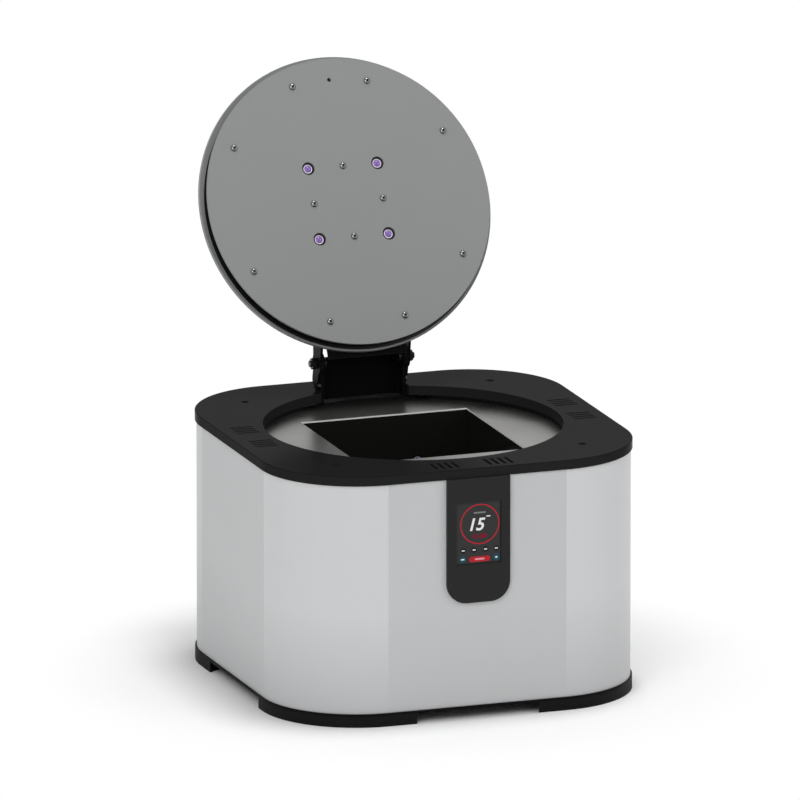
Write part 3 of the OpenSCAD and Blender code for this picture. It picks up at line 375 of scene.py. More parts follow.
# Painted highlight: the round corners are lighter than the flats. Painted shade: the sheet is darker towards
# the table.
corner_highlight_mask = calculate(tree, "MULTIPLY", *past_flat, (-700, 550))
low_shade_fall = add_node(tree, "ShaderNodeMapRange", (-900, 250), {
    "Value": split.outputs["Z"], "From Min": cabinet_low.z, "From Max": cabinet_low.z + low_shade_band})
corner_highlight_colour = blend_colour(tree, tone(196, 197, 198), tone(209, 210, 211), corner_highlight_mask, (-450, 500))
low_shade_colour = blend_colour(tree, tone(187, 188, 189), corner_highlight_colour, low_shade_fall.outputs["Result"], (-250, 350))
tree.links.new(low_shade_colour, tree.nodes["Principled BSDF"].inputs["Base Color"])
dress(paint, "cabinet_shell")
print("flats reach", round(flat_half, 4), "m from the middle")

# %% [markdown]
# ## Blacks
# One black for all would be quicker, but gloss is what tells a plate, a panel, foam and enamel apart. So
# there are seven. The top plate is smooth, and its sawn sides are a little lighter. Its gloss is almost off,
# because a glossy plate in white surroundings would come out grey.

# %% Top plate
gloss_black = finish("polished_black", tone(22, 22, 22), rough=(0.16, 0.24), specular=0.003,
                     grain=(500.0, 0.000004), smudge=9.0, edge=(0.0005, 0.25, tone(56, 56, 57)))
tree = gloss_black.node_tree
shader = tree.nodes["Principled BSDF"]
cuts = add_node(tree, "ShaderNodeGroup", (-600, 650), node_tree=cut_group)
worn = shader.inputs["Base Color"].links[0].from_socket
tree.links.new(blend_colour(tree, worn, tone(37, 37, 37), cuts.outputs["Mask"], (-100, 400)),
               shader.inputs["Base Color"])
dress(gloss_black, "top_plate")

# %% [markdown]
# The other six are the coated base, moulded plastic, the satin display panel, the foam of the seals, the
# gloss enamel inside the chamber, and the lamp boards.

# %% Other blacks
base_black = finish("base_black", tone(15, 15, 15), rough=(0.4, 0.55), specular=0.04)
dress(base_black, "base_plate")

moulded_black = finish("moulded_black", tone(18, 18, 19), rough=(0.5, 0.65), specular=0.08,
                       grain=(1500.0, 0.00005))
dress(moulded_black, "foot_front_left", "foot_front_right", "foot_rear_left", "foot_rear_right",
      "fan_frame", "fan_rotor", "power_inlet", "switch_housing", "power_rocker", "reed_sensor")

satin_black = finish("satin_black", tone(28, 28, 28), rough=(0.42, 0.5), specular=0.2,
                     grain=(1800.0, 0.00002))
dress(satin_black, "front_panel")

foam_black = finish("foam_black", tone(14, 14, 14), rough=(0.85, 0.95), specular=0.05,
                    grain=(700.0, 0.0002))
dress(foam_black, "light_seal", "lid_spacer")

enamel_black = finish("enamel_black", tone(27, 27, 25), rough=(0.1, 0.18), specular=0.4,
                      grain=(300.0, 0.000006))
dress(enamel_black, "chamber_front_wall", "chamber_back_wall", "chamber_left_wall", "chamber_right_wall",
      "chamber_floor")

board_black = finish("board_black", tone(14, 14, 15), rough=(0.3, 0.4), specular=0.2)
dress(board_black, "led_board_front", "led_board_back", "led_board_left", "led_board_right",
      "lid_led_board")

# %% [markdown]
# ## Polished steel
# The inner plate is stainless steel. A clear mirror would show sharp pictures of the lid, so its gloss is
# spread a little. The cut edge round the square hole isn't polished: it loses its metal shine by the mask of
# upright cuts and scatters light, so it stands out bright before the dark chamber.

# %% Polished steel
steel_colour = tone(128, 127, 125)
polished_steel = finish("polished_steel", steel_colour, rough=(0.26, 0.34), metal=1.0,
                        grain=(300.0, 0.000004))
tree = polished_steel.node_tree
shader = tree.nodes["Principled BSDF"]
sawn = add_node(tree, "ShaderNodeGroup", (-700, 450), node_tree=cut_group).outputs["Mask"]
smooth = calculate(tree, "SUBTRACT", 1.0, sawn, (-500, 600))
tree.links.new(blend_colour(tree, steel_colour, tone(252, 252, 250), sawn), shader.inputs["Base Color"])
tree.links.new(smooth, shader.inputs["Metallic"])
dress(polished_steel, "inner_plate")

# %% [markdown]
# ## Opening the lid
# The lid swings on a hinge at the rear. Its small parts could be placed straight on the slanted lid, but
# they are easier to measure on a level one. So they are laid out as if the lid were closed, in the same
# places as in the source of the solids, and one matrix turns them up about the hinge's axis. The joint's
# range gives the angle between closed and open.

# %% Opening the lid
hinge = next(j for j in frame["joints"] if j["name"] == "lid_hinge")
pivot = Vector(hinge["pos_m"])
open_turn = Matrix.Rotation(math.radians(hinge["range_deg"][0]), 4, "X")
open_lid = Matrix.Translation(pivot) @ open_turn @ Matrix.Translation(-pivot)
print("hinge axis at y", round(pivot.y, 4), "z", round(pivot.z, 4))

# %% [markdown]
# ## The lid's cover
# The cover is painted like the disc in front of it, a little darker. Behind the disc, its inner face is
# painted black up to a circle that stops short of the cover's rim. This is a painted shadow: the shade that
# the disc casts on the cover in light from above. The photograph shows this dark band wider towards the
# hinge than on the far side, so the circle is shifted towards the hinge. A thin ring could be a piece of its
# own, but it would lie in the way when the lid closes. So the painted shadow is a colour on the cover's own
# face: how far a point is from the circle's axis, and which way its face looks, tell where it lies.

# %% Cover and its painted shadow
# The painted shadow of the disc on the cover: its margin from the rim and its shift towards the hinge.
shadow_margin = 3.4 * MM
shadow_shift = 2.0 * MM
facing_inwards = 0.5
cover_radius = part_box("lid_cover")[1].x
lid_axis = open_lid.to_3x3() @ Vector((0, 0, -1))
shadow_middle = open_lid @ Vector((0, shadow_shift, top_high.z))
cover_grey = finish("cover_grey", tone(128, 130, 130), rough=(0.34, 0.42), specular=0.3,
                    grain=(1600.0, 0.00001), smudge=6.0, edge=(0.0006, 0.3, tone(165, 167, 167)))
tree = cover_grey.node_tree
shader = tree.nodes["Principled BSDF"]
spot = add_node(tree, "ShaderNodeTexCoord", (-1700, 800))
from_middle = add_node(tree, "ShaderNodeVectorMath", (-1500, 800), {
    0: spot.outputs["Object"], 1: shadow_middle}, operation="SUBTRACT")
swept = add_node(tree, "ShaderNodeVectorMath", (-1300, 800), {
    0: from_middle.outputs[0], 1: lid_axis}, operation="CROSS_PRODUCT")
off_axis = add_node(tree, "ShaderNodeVectorMath", (-1100, 800), {0: swept.outputs[0]}, operation="LENGTH")
near = calculate(tree, "LESS_THAN", off_axis.outputs["Value"], cover_radius - shadow_margin, (-900, 800))
looks = add_node(tree, "ShaderNodeNewGeometry", (-1300, 600))
turned = add_node(tree, "ShaderNodeVectorMath", (-1100, 600), {
    0: looks.outputs["True Normal"], 1: lid_axis}, operation="DOT_PRODUCT")
inner_face = calculate(tree, "GREATER_THAN", turned.outputs["Value"], facing_inwards, (-900, 600))
# Painted shadow: near black on the cover's inner face, inside the circle.
painted_disc_shadow = calculate(tree, "MULTIPLY", near, inner_face, (-700, 700))
painted = shader.inputs["Base Color"].links[0].from_socket
tree.links.new(blend_colour(tree, painted, tone(14, 14, 14), painted_disc_shadow, (-100, 400)),
               shader.inputs["Base Color"])
dress(cover_grey, "lid_cover")
print("dark band reaches", round(cover_radius - shadow_margin, 4), "m")

# %% [markdown]
# ## Lid paint and metals
# The disc is satin grey paint. The hinge is bent sheet with a black coat, whose cut edges and corners show
# bare metal, and the group for bare edges finds them without a single painted mask. Screws, posts and heat
# sinks are plain metals, each with its own colour and roughness.

# %% Lid paint and metals
lid_grey = finish("lid_grey", tone(136, 137, 137), rough=(0.36, 0.44), specular=0.3,
                  grain=(1600.0, 0.00001), smudge=6.0)
dress(lid_grey, "lid_disc")

hinge_black = finish("hinge_black", tone(10, 10, 10), rough=(0.4, 0.5), specular=0.03,
                     grain=(1200.0, 0.00002), edge=(0.0002, 0.2, tone(80, 80, 78)))
dress(hinge_black, "base_hinge_bracket", "lid_hinge_bracket")

black_oxide = finish("black_oxide", tone(46, 46, 48), rough=(0.25, 0.35), metal=0.8)
dress(black_oxide, "pivot_bolts", "pivot_nuts", "bracket_screws", "post_screws", "foot_screws",
      "top_plate_screws", "lid_magnet")

plated_steel = finish("plated_steel", tone(200, 200, 200), rough=(0.2, 0.3), metal=1.0)
dress(plated_steel, "corner_posts", "floor_posts", "inner_plate_screws", "fan_screws")

extruded_aluminium = finish("extruded_aluminium", tone(190, 192, 195), rough=(0.35, 0.5), metal=1.0)
dress(extruded_aluminium, "heat_sink_front", "heat_sink_back", "heat_sink_left", "heat_sink_right",
      "lid_heat_spreader", "power_supply")

# %% [markdown]
# ## Boards and glass
# The circuit boards are green, their standoffs turned brass, and the display has a dark glass in front. A
# clear glass would need a lit screen behind it. Here the glass is a smooth dark surface, and the drawing
# lies on its front.

# %% Boards and glass
board_green = finish("board_green", tone(32, 92, 60), rough=(0.3, 0.4))
dress(board_green, "controller_board", "display_module")
brass = finish("turned_brass", tone(200, 170, 90), rough=(0.25, 0.35), metal=1.0)
dress(brass, "board_standoffs")
screen_glass = finish("screen_glass", tone(46, 46, 46), rough=(0.14, 0.2), specular=0.2,
                      grain=(300.0, 0.000002))
dress(screen_glass, "display_glass")

# %% [markdown]
# ## Growing what repeats
# Screws and lamps repeat, so each is one small shape that a geometry tree copies onto loose points. Every
# point carries the direction that its copy faces, as an attribute. A loop in Python could copy them too, but
# a tree keeps its sizes as named inputs that can be changed later. It ends in real faces with their finish,
# because copies that aren't real are lost when the model is saved for other programs.


# %% An empty tree
def geometry_tree(name, sizes):
    """A geometry tree with points going in, its sizes as inputs, and faces going out."""
    made = bpy.data.node_groups.new(name, "GeometryNodeTree")
    made.interface.new_socket(name="Places", in_out="INPUT", socket_type="NodeSocketGeometry")
    for label, value in sizes.items():
        socket = made.interface.new_socket(name=label, in_out="INPUT", socket_type="NodeSocketFloat")
        socket.default_value = value
    made.interface.new_socket(name="Faces", in_out="OUTPUT", socket_type="NodeSocketGeometry")
    entry = add_node(made, "NodeGroupInput", (-1500, 0))
    leave = add_node(made, "NodeGroupOutput", (1300, 0))
    print("tree", name, "with", ", ".join(sizes))
    return made, entry.outputs, leave.inputs["Faces"]


# %% A dome
def dome(tree, radius, height, lift, place):
    """Nodes that roll a flat grid into a closed dome that stands at a lift above the point.

    The rows run from the dome's top to its rim. The last row is drawn in to the axis, which closes the
    dome from below, and points that meet are merged.
    """
    rows, around = 9, 33
    half_row = 0.5 / (rows - 1)
    merge_distance = 0.000001
    x0, y0 = place
    grid = add_node(tree, "GeometryNodeMeshGrid", (x0, y0), {
        "Size X": 1.0, "Size Y": 1.0, "Vertices X": rows, "Vertices Y": around})
    at = add_node(tree, "GeometryNodeInputPosition", (x0, y0 - 200))
    split = add_node(tree, "ShaderNodeSeparateXYZ", (x0 + 150, y0 - 200), {0: at.outputs[0]})
    share = calculate(tree, "ADD", split.outputs["X"], 0.5, (x0 + 300, y0 - 200))
    not_last = calculate(tree, "LESS_THAN", share, 1 - half_row, (x0 + 300, y0 - 400))
    stretched = calculate(tree, "MULTIPLY", share, (rows - 1) / (rows - 2), (x0 + 450, y0 - 200))
    down = calculate(tree, "MULTIPLY", calculate(tree, "MINIMUM", stretched, 1.0, (x0 + 600, y0 - 200)),
                     math.pi / 2, (x0 + 750, y0 - 200))
    turn = calculate(tree, "MULTIPLY", split.outputs["Y"], 2 * math.pi, (x0 + 450, y0 - 500))
    out = calculate(tree, "MULTIPLY", calculate(tree, "SINE", down, place=(x0 + 900, y0 - 200)), radius,
                    (x0 + 1050, y0 - 200))
    out = calculate(tree, "MULTIPLY", out, not_last, (x0 + 1200, y0 - 200))
    up = calculate(tree, "MULTIPLY", calculate(tree, "COSINE", down, place=(x0 + 900, y0 - 350)), height,
                   (x0 + 1050, y0 - 350))
    spot = add_node(tree, "ShaderNodeCombineXYZ", (x0 + 1350, y0 - 300), {
        "X": calculate(tree, "MULTIPLY", out, calculate(tree, "COSINE", turn), (x0 + 1200, y0 - 500)),
        "Y": calculate(tree, "MULTIPLY", out, calculate(tree, "SINE", turn), (x0 + 1200, y0 - 650)),
        "Z": calculate(tree, "ADD", up, lift, (x0 + 1200, y0 - 350))})
    rolled = add_node(tree, "GeometryNodeSetPosition", (x0 + 1500, y0), {
        "Geometry": grid.outputs["Mesh"], "Position": spot.outputs[0]})
    joined = add_node(tree, "GeometryNodeMergeByDistance", (x0 + 1650, y0), {
        "Geometry": rolled.outputs[0], "Distance": merge_distance})
    print("dome of", rows - 1, "rows by", around - 1)
    return joined.outputs[0]


# %% Copies on points
def copies(tree, points, shape, material, place, marked=None):
    """Nodes that put the shape on every point, facing its way, as real faces with a finish.

    Faces marked by a true attribute get a second finish, where marked gives (attribute, finish).
    """
    x0, y0 = place
    facing = add_node(tree, "GeometryNodeInputNamedAttribute", (x0, y0 - 200), {"Name": "facing"},
                      data_type="FLOAT_VECTOR")
    aimed = add_node(tree, "FunctionNodeAlignRotationToVector", (x0 + 150, y0 - 200), {
        "Vector": facing.outputs[0]}, axis="Z")
    placed = add_node(tree, "GeometryNodeInstanceOnPoints", (x0 + 300, y0), {
        "Points": points, "Instance": shape, "Rotation": aimed.outputs[0]})
    real = add_node(tree, "GeometryNodeRealizeInstances", (x0 + 450, y0), {0: placed.outputs[0]})
    smooth = add_node(tree, "GeometryNodeSetShadeSmooth", (x0 + 600, y0), {0: real.outputs[0]})
    finished = add_node(tree, "GeometryNodeSetMaterial", (x0 + 750, y0), {
        "Geometry": smooth.outputs[0], "Material": material}).outputs[0]
    if marked:
        attribute, second_finish = marked
        chosen = add_node(tree, "GeometryNodeInputNamedAttribute", (x0 + 750, y0 - 200),
                          {"Name": attribute}, data_type="BOOLEAN")
        finished = add_node(tree, "GeometryNodeSetMaterial", (x0 + 900, y0), {
            "Geometry": finished, "Selection": chosen.outputs[0], "Material": second_finish}).outputs[0]
    print("copies in", material.name)
    return finished


# %% Growing a piece
def grow(name, tree, places, sizes, body, replaced, matrix=None):
    """Runs a tree on points, keeps the faces as a plain piece, and hands it to a body."""
    points = bpy.data.meshes.new(name + "_points")
    points.from_pydata([tuple(place) for place, _ in places], [], [])
    facing = points.attributes.new("facing", "FLOAT_VECTOR", "POINT")
    for index, (_, way) in enumerate(places):
        facing.data[index].vector = way
    piece = add_object(name, points)
    modifier = piece.modifiers.new("grow", "NODES")
    modifier.node_group = tree
    for label, value in sizes.items():
        modifier[tree.interface.items_tree[label].identifier] = value
    evaluated = piece.evaluated_get(bpy.context.evaluated_depsgraph_get())
    mesh = bpy.data.meshes.new_from_object(evaluated)
    piece.modifiers.remove(modifier)
    piece.data = mesh
    if matrix:
        mesh.transform(matrix)
    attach(piece, body)
    if replaced:
        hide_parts(replaced)
    print(name, len(mesh.polygons), "faces")
    return piece


# %% [markdown]
# ## Domed screws
# The screws have low domed heads with a six-sided socket. A picture of a socket would do from afar, but a
# real hole catches the light on its own walls. So a closed dome loses a six-sided prism from its middle, and
# edges sharper than 30 degrees stay crisp. Little light reaches the inside of a real socket, so its faces
# are marked and get painted shade: a darker steel that stands for the shade in the hollow.

# %% Screw finishes and sizes
screw_steel = finish("screw_steel", tone(116, 116, 116), rough=(0.16, 0.22), metal=1.0,
                     grain=(800.0, 0.000006))
# Painted shade for the inside of the socket, where little light reaches.
socket_painted_shade = finish("socket_painted_shade", tone(34, 34, 34), rough=(0.4, 0.5), metal=0.6)
prism_height = 1.2
prism_sides = 6
crisp_angle = math.radians(30)
socket_share = 0.9
screws, entry, leave = geometry_tree("domed_screws", {
    "Head Radius": 2.75 * MM, "Head Height": 1.6 * MM, "Socket Radius": 1.15 * MM})

# %% Head with its socket
head = dome(screws, entry["Head Radius"], entry["Head Height"], 0.0, (-1400, 700))
socket_depth = calculate(screws, "MULTIPLY", entry["Head Height"], prism_height, (-1000, -300))
prism = add_node(screws, "GeometryNodeMeshCylinder", (-800, -300), {
    "Vertices": prism_sides, "Radius": entry["Socket Radius"], "Depth": socket_depth})
raise_by = add_node(screws, "ShaderNodeCombineXYZ", (-800, -600), {"Z": entry["Head Height"]})
lifted = add_node(screws, "GeometryNodeTransform", (-600, -300), {
    "Geometry": prism.outputs["Mesh"], "Translation": raise_by.outputs[0]})
drilled = add_node(screws, "GeometryNodeMeshBoolean", (-400, -100), {
    "Mesh 1": head, "Mesh 2": lifted.outputs[0]}, operation="DIFFERENCE", solver="EXACT")
bend = add_node(screws, "GeometryNodeInputMeshEdgeAngle", (-400, -400))
crisp = calculate(screws, "GREATER_THAN", bend.outputs[0], crisp_angle, (-200, -400))
creased = add_node(screws, "GeometryNodeStoreNamedAttribute", (0, -100), {
    "Geometry": drilled.outputs["Mesh"], "Name": "sharp_edge", "Value": crisp},
    data_type="BOOLEAN", domain="EDGE")
print("socket with", prism_sides, "sides")

# %% Marking the socket
spot = add_node(screws, "GeometryNodeInputPosition", (-200, -700))
split = add_node(screws, "ShaderNodeSeparateXYZ", (-50, -700), {0: spot.outputs[0]})
sideways = add_node(screws, "ShaderNodeCombineXYZ", (100, -700), {
    "X": split.outputs["X"], "Y": split.outputs["Y"]})
off_axis = add_node(screws, "ShaderNodeVectorMath", (250, -700), {0: sideways.outputs[0]},
                    operation="LENGTH")
socket_reach = calculate(screws, "MULTIPLY", entry["Socket Radius"], socket_share, (250, -900))
inside = calculate(screws, "LESS_THAN", off_axis.outputs["Value"], socket_reach, (400, -700))
marked = add_node(screws, "GeometryNodeStoreNamedAttribute", (150, -100), {
    "Geometry": creased.outputs[0], "Name": "in_socket", "Value": inside},
    data_type="BOOLEAN", domain="FACE")
screws.links.new(copies(screws, entry["Places"], marked.outputs[0], screw_steel, (300, 0),
                        ("in_socket", socket_painted_shade)), leave)
print("screw tree of", len(screws.nodes), "nodes")

# %% [markdown]
# ## Screws on the lid
# Eight screws stand on a circle near the disc's rim, and four hold the lamp board in a cross. Their places
# follow from a few sizes, on the closed lid, whose face looks down.

# %% Screws on the lid
lid_face = 0.1916
rim_circle = 0.100
rim_angles = (18, 60, 120, 162)
lamp_half = 0.0286
down = (0, 0, -1)
rim_places = []
for angle in rim_angles:
    for side in (-1, 1):
        turn = math.radians(side * angle)
        rim_places.append(((rim_circle * math.sin(turn), -rim_circle * math.cos(turn), lid_face), down))
cross = [(lamp_half, 0), (0, lamp_half), (-lamp_half, 0), (0, -lamp_half)]
cross_places = [((x, y, lid_face), down) for x, y in cross]
grow("rim_screws", screws, rim_places, {}, "lid", "lid_rim_screws", open_lid)
grow("lamp_plate_screws", screws, cross_places, {}, "lid", "lid_led_screws", open_lid)

# %% [markdown]
# ## Screws in the chamber
# Each of the four chamber walls has the same cross of screws. They are laid out on one wall and turned about
# the chamber's middle by quarters, which keeps the four walls alike.

# %% Screws in the chamber
wall_out = -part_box("chamber_left_wall")[0].y
wall_thick = 0.0025
lamps_below_top = 0.0789
lamps_z = top_high.z - lamps_below_top


def on_walls(spots, depth):
    """Places on the four chamber walls at a depth in from their outer faces, each facing the middle."""
    found = []
    for quarter in range(4):
        turn = Matrix.Rotation(quarter * math.pi / 2, 3, "Z")
        for x, z in spots:
            found.append((turn @ Vector((x, depth - wall_out, lamps_z + z)), turn @ Vector((0, 1, 0))))
    return found


grow("wall_screws", screws, on_walls(cross, wall_thick), {}, "body", "wall_module_screws")

# %% [markdown]
# ## Screws on the hinge
# Four screws hold the hinge's plate to the lid, and one at each side of the hinge stops its turn. The stops
# have narrower, taller heads in black. A second tree could make them, but the same tree does with other
# inputs, and their steel is swapped afterwards.

# %% Screws on the hinge
plate_screw_out = 0.020
plate_screw_rows = (0.078, 0.0995)
plate_face = 0.207
stop_out = 0.035
stop_before_axis = 0.002
stop_above_top = 0.004
plate_places = [((side * plate_screw_out, y, plate_face), (0, 0, 1))
                for side in (-1, 1) for y in plate_screw_rows]
grow("hinge_plate_screws", screws, plate_places, {}, "lid", "lid_bracket_screws", open_lid)
stop_places = [((side * stop_out, pivot.y - stop_before_axis, top_high.z + stop_above_top), (side, 0, 0))
               for side in (-1, 1)]
stop_heads = grow("lid_stop_screws", screws, stop_places, {
    "Head Radius": 2.5 * MM, "Head Height": 2.2 * MM}, "body", "stop_screws")
for index, seen in enumerate(stop_heads.data.materials):
    if seen == screw_steel:
        stop_heads.data.materials[index] = black_oxide

# %% [markdown]
# ## Mains inlet
# The inlet at the rear is moulded black, and only its three contacts are metal. In the solids they are part
# of the moulded piece. A mask in its finish could colour them, but it would leave their edges sharp. So each
# gets a thin metal sleeve with eased edges. Two screws of the same kind as on the lid hold the flange.

# %% Contacts and flange screws
inlet_low, inlet_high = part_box("power_inlet")
inlet_x = (inlet_low.x + inlet_high.x) / 2
inlet_z = (inlet_low.z + inlet_high.z) / 2
contact_half = Vector((1.05, 6.25, 2.05)) * MM
contact_ease = 0.4 * MM
contact_inset = 3.95 * MM
contact_tip = inlet_high.y - contact_inset
contact_places = ((-7, -1), (0, 3), (7, -1))
flange_screw_out = 20 * MM
contacts = bmesh.new()
for across, up in contact_places:
    middle = Vector((inlet_x + across * MM, contact_tip - contact_half.y, inlet_z + up * MM))
    blade = bmesh.ops.create_cube(contacts, size=2.0)["verts"]
    for corner in blade:
        corner.co = middle + corner.co * contact_half
bmesh.ops.bevel(contacts, geom=contacts.edges[:], offset=contact_ease, segments=3, affect="EDGES",
                profile=0.5)
contact_mesh = bpy.data.meshes.new("inlet_contacts")
contacts.to_mesh(contact_mesh)
contacts.free()
contact_mesh.materials.append(plated_steel)
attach(add_object("inlet_contacts", contact_mesh), "body")
print("inlet_contacts", len(contact_mesh.polygons), "faces")
flange_places = [((inlet_x + side * flange_screw_out, inlet_high.y, inlet_z), (0, 1, 0))
                 for side in (-1, 1)]
grow("inlet_screws", screws, flange_places, {}, "body", None)

# %% [markdown]
# ## Lamps
# Each lamp sits in its own round hole: a white ring on the black board, and in it a violet lens. Both could
# be turned from one outline, but then they would share one finish. Here the ring is a small circle swept
# round a larger one, and the lens is the same dome as the screws have, each with a finish of its own.

# %% Lamp tree
# The lens's lighter violet rim, drawn by the edge mask, is a painted highlight.
lens_violet = finish("lens_violet", tone(126, 92, 170), rough=(0.08, 0.14), specular=0.5,
                     grain=(400.0, 0.000005), edge=(0.0012, 0.6, tone(176, 150, 214)))
ceramic = finish("white_ceramic", tone(226, 216, 232), rough=(0.3, 0.4), specular=0.4)
ring_steps = 40
section_steps = 12
lamps, entry, leave = geometry_tree("lamps", {
    "Lens Radius": 2.8 * MM, "Lens Height": 1.3 * MM, "Ring Radius": 3.2 * MM,
    "Ring Half Width": 0.5 * MM, "Lift": 0.2 * MM})
lens = dome(lamps, entry["Lens Radius"], entry["Lens Height"], entry["Lift"], (-1400, 800))
rail = add_node(lamps, "GeometryNodeCurvePrimitiveCircle", (-900, -300), {
    "Resolution": ring_steps, "Radius": entry["Ring Radius"]})
section = add_node(lamps, "GeometryNodeCurvePrimitiveCircle", (-900, -500), {
    "Resolution": section_steps, "Radius": entry["Ring Half Width"]})
ring = add_node(lamps, "GeometryNodeCurveToMesh", (-700, -300), {
    "Curve": rail.outputs[0], "Profile Curve": section.outputs[0]})
ring_lift = add_node(lamps, "ShaderNodeCombineXYZ", (-700, -550), {"Z": entry["Lift"]})
ring_up = add_node(lamps, "GeometryNodeTransform", (-500, -300), {
    "Geometry": ring.outputs[0], "Translation": ring_lift.outputs[0]})
both = add_node(lamps, "GeometryNodeJoinGeometry", (1150, 0))
lamps.links.new(copies(lamps, entry["Places"], lens, lens_violet, (250, 300)), both.inputs[0])
lamps.links.new(copies(lamps, entry["Places"], ring_up.outputs[0], ceramic, (250, -300)), both.inputs[0])
lamps.links.new(both.outputs[0], leave)
print("lamp tree of", len(lamps.nodes), "nodes")

# %% Lamps on the lid and on the walls
lamp_sink = 0.0022
square = [(lamp_half, lamp_half), (-lamp_half, lamp_half), (-lamp_half, -lamp_half),
          (lamp_half, -lamp_half)]
square_places = [((x, y, lid_face + lamp_sink), down) for x, y in square]
grow("lid_lamps", lamps, square_places, {}, "lid", "lid_leds", open_lid)
grow("wall_lamps", lamps, on_walls(square, 0.0), {}, "body", "wall_leds")

# %% [markdown]
# ## Display
# The screen shows a ring with a number in it, short bars, round dots and a red bar. A picture on the glass
# could hold all of it, but shapes stay sharp from near and need no file. So everything lies on the front of
# the glass as flat sheets, and each colour glows by itself. Shapes are outlines in millimetres, as seen from
# the front. A bar is given by the x and z of its middle, its width and its height, and a dot by the x and z
# of its middle and its radius.


# %% Outlines
def ring_points(x, z, radius, count=48):
    """Points round a circle, given in millimetres."""
    return [(x + radius * math.cos(2 * math.pi * k / count), z + radius * math.sin(2 * math.pi * k / count))
            for k in range(count)]


def rounded_bar(x, z, width, height, count=8):
    """Points round a bar with round ends, from its middle and its sizes in millimetres."""
    radius = height / 2
    reach = width / 2 - radius
    points = []
    for k in range(2 * count + 2):
        turn = math.pi * (k - (k > count)) / count - math.pi / 2
        shift = reach if k <= count else -reach
        points.append((x + shift + radius * math.cos(turn), z + radius * math.sin(turn)))
    return points


# %% Screen colours
screen_grain = 420.0
dimmest = 0.86


def glow_colour(name, colour):
    """A screen colour that glows by itself, with the faint unevenness of a lit screen."""
    made = finish(name, (0, 0, 0, 1), rough=(0.3, 0.4), specular=0.1, grain=(900.0, 0.000001))
    tree = made.node_tree
    shader = tree.nodes["Principled BSDF"]
    grains = add_node(tree, "ShaderNodeGroup", (-900, 400), node_tree=grain_group)
    grains.inputs["Scale"].default_value = screen_grain
    dimmed = tuple(part * dimmest for part in colour[:3]) + (1.0,)
    tree.links.new(blend_colour(tree, dimmed, colour, grains.outputs["Height"]),
                   shader.inputs["Emission Color"])
    shader.inputs["Emission Strength"].default_value = 1.0
    return made


glow_red = glow_colour("glow_red", tone(178, 34, 46))
glow_dim_red = glow_colour("glow_dim_red", tone(112, 24, 44))
glow_white = glow_colour("glow_white", tone(232, 232, 232))
glow_grey = glow_colour("glow_grey", tone(120, 122, 124))
glow_teal = glow_colour("glow_teal", tone(24, 74, 86))
glow_dark = glow_colour("glow_dark", tone(28, 28, 30))
glow_pink = glow_colour("glow_pink", tone(222, 150, 158))

# %% Sheets on the glass
glass_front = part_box("display_glass")[0].y
sheet_gap = 0.00003
on_screen, on_marks = 1, 2
print("glass front at y", round(glass_front, 4))


def on_glass(name, outlines, material, layer, bands=()):
    """Flat shapes on the glass in one colour: filled outlines, and bands between two outlines."""
    y = glass_front - sheet_gap * layer
    points = []
    faces = []
    for outline in outlines:
        start = len(points)
        points += [(x * MM, y, z * MM) for x, z in outline]
        faces.append(list(range(start, len(points))))
    for outer, inner in bands:
        start = len(points)
        count = len(outer)
        points += [(x * MM, y, z * MM) for x, z in outer + inner]
        for k in range(count):
            after = (k + 1) % count
            faces.append([start + k, start + after, start + count + after, start + count + k])
    sheet_piece = add_object(name, mesh_from(name, points, faces))
    sheet_piece.data.materials.append(material)
    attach(sheet_piece, "body")
    print(name, len(faces), "faces")


# %% Numbers on the glass
slant = 0.25
boldness = 0.02


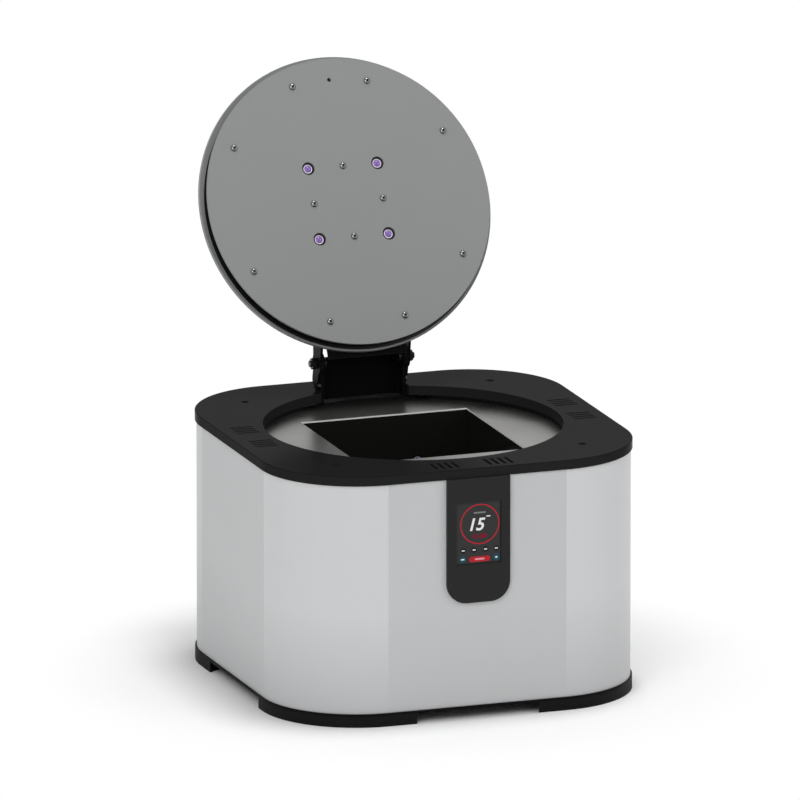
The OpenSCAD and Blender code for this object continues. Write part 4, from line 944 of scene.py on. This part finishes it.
def digits(name, text, x, z, height, material, layer):
    """Slanted plain numbers on the glass, centred on a place in millimetres."""
    curve = bpy.data.curves.new(name, "FONT")
    curve.body = text
    curve.align_x = "CENTER"
    curve.align_y = "CENTER"
    curve.size = height
    curve.shear = slant
    curve.offset = boldness * height
    written = add_object(name + "_text", curve)
    mesh = bpy.data.meshes.new_from_object(written.evaluated_get(bpy.context.evaluated_depsgraph_get()))
    bpy.data.objects.remove(written)
    middle = [(min(v.co[k] for v in mesh.vertices) + max(v.co[k] for v in mesh.vertices)) / 2
              for k in (0, 1)]
    tall = max(v.co.y for v in mesh.vertices) - min(v.co.y for v in mesh.vertices)
    grown = height / tall
    y = glass_front - sheet_gap * layer
    for v in mesh.vertices:
        v.co = ((x + (v.co.x - middle[0]) * grown) * MM, y, (z + (v.co.y - middle[1]) * grown) * MM)
    mesh.name = name
    mesh.materials.clear()
    mesh.materials.append(material)
    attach(add_object(name, mesh), "body")
    print(name, len(mesh.polygons), "faces")


# %% Ring and number
ring_middle = (1.2, 155.3)
ring_outer = 16.1
ring_inner = 15.15
ring_count = 72
number_middle = (-0.6, 155.2)
number_height = 10.0
top_bar = (1.05, 164.5, 9.9, 1.3)
tick = (8.2, 161.2, 3.4, 0.9)
on_glass("screen_ring", [], glow_red, on_screen, bands=[(
    ring_points(*ring_middle, ring_outer, ring_count), ring_points(*ring_middle, ring_inner, ring_count))])
digits("screen_number", "15", *number_middle, number_height, glow_white, on_screen)
on_glass("screen_bar", [rounded_bar(*top_bar)], glow_grey, on_screen)
on_glass("screen_tick", [rounded_bar(*tick)], glow_white, on_screen)

# %% Marks below the ring
red_blobs = ((-2.15, 145.8, 4.7, 3.5), (4.0, 145.8, 6.2, 3.5))
icon_places = (-12.4, -3.5, 5.9, 14.7)
icon_z = 135.0
icon_radius = 2.3
icon_count = 32
icon_mark = (2.6, 0.9)
on_glass("screen_lamps", [rounded_bar(*blob) for blob in red_blobs], glow_dim_red, on_screen)
on_glass("screen_icons", [ring_points(x, icon_z, icon_radius, icon_count) for x in icon_places],
         glow_dark, on_screen)
on_glass("screen_icon_marks", [rounded_bar(x, icon_z, *icon_mark) for x in icon_places],
         glow_white, on_marks)

# %% Row of buttons
buttons = ((-12.9, 128.0, 2.7), (14.7, 127.9, 2.7))
button_marks = ((-12.9, 128.0, 3.0, 1.0), (14.7, 127.9, 2.0, 1.2))
start_bar = (1.05, 127.5, 17.4, 4.3)
start_mark = (1.05, 127.5, 8.0, 1.4)
on_glass("screen_buttons", [ring_points(*button) for button in buttons], glow_teal, on_screen)
on_glass("screen_button_marks", [rounded_bar(*mark) for mark in button_marks], glow_white, on_marks)
on_glass("screen_start", [rounded_bar(*start_bar)], glow_red, on_screen)
on_glass("screen_start_mark", [rounded_bar(*start_mark)], glow_pink, on_marks)
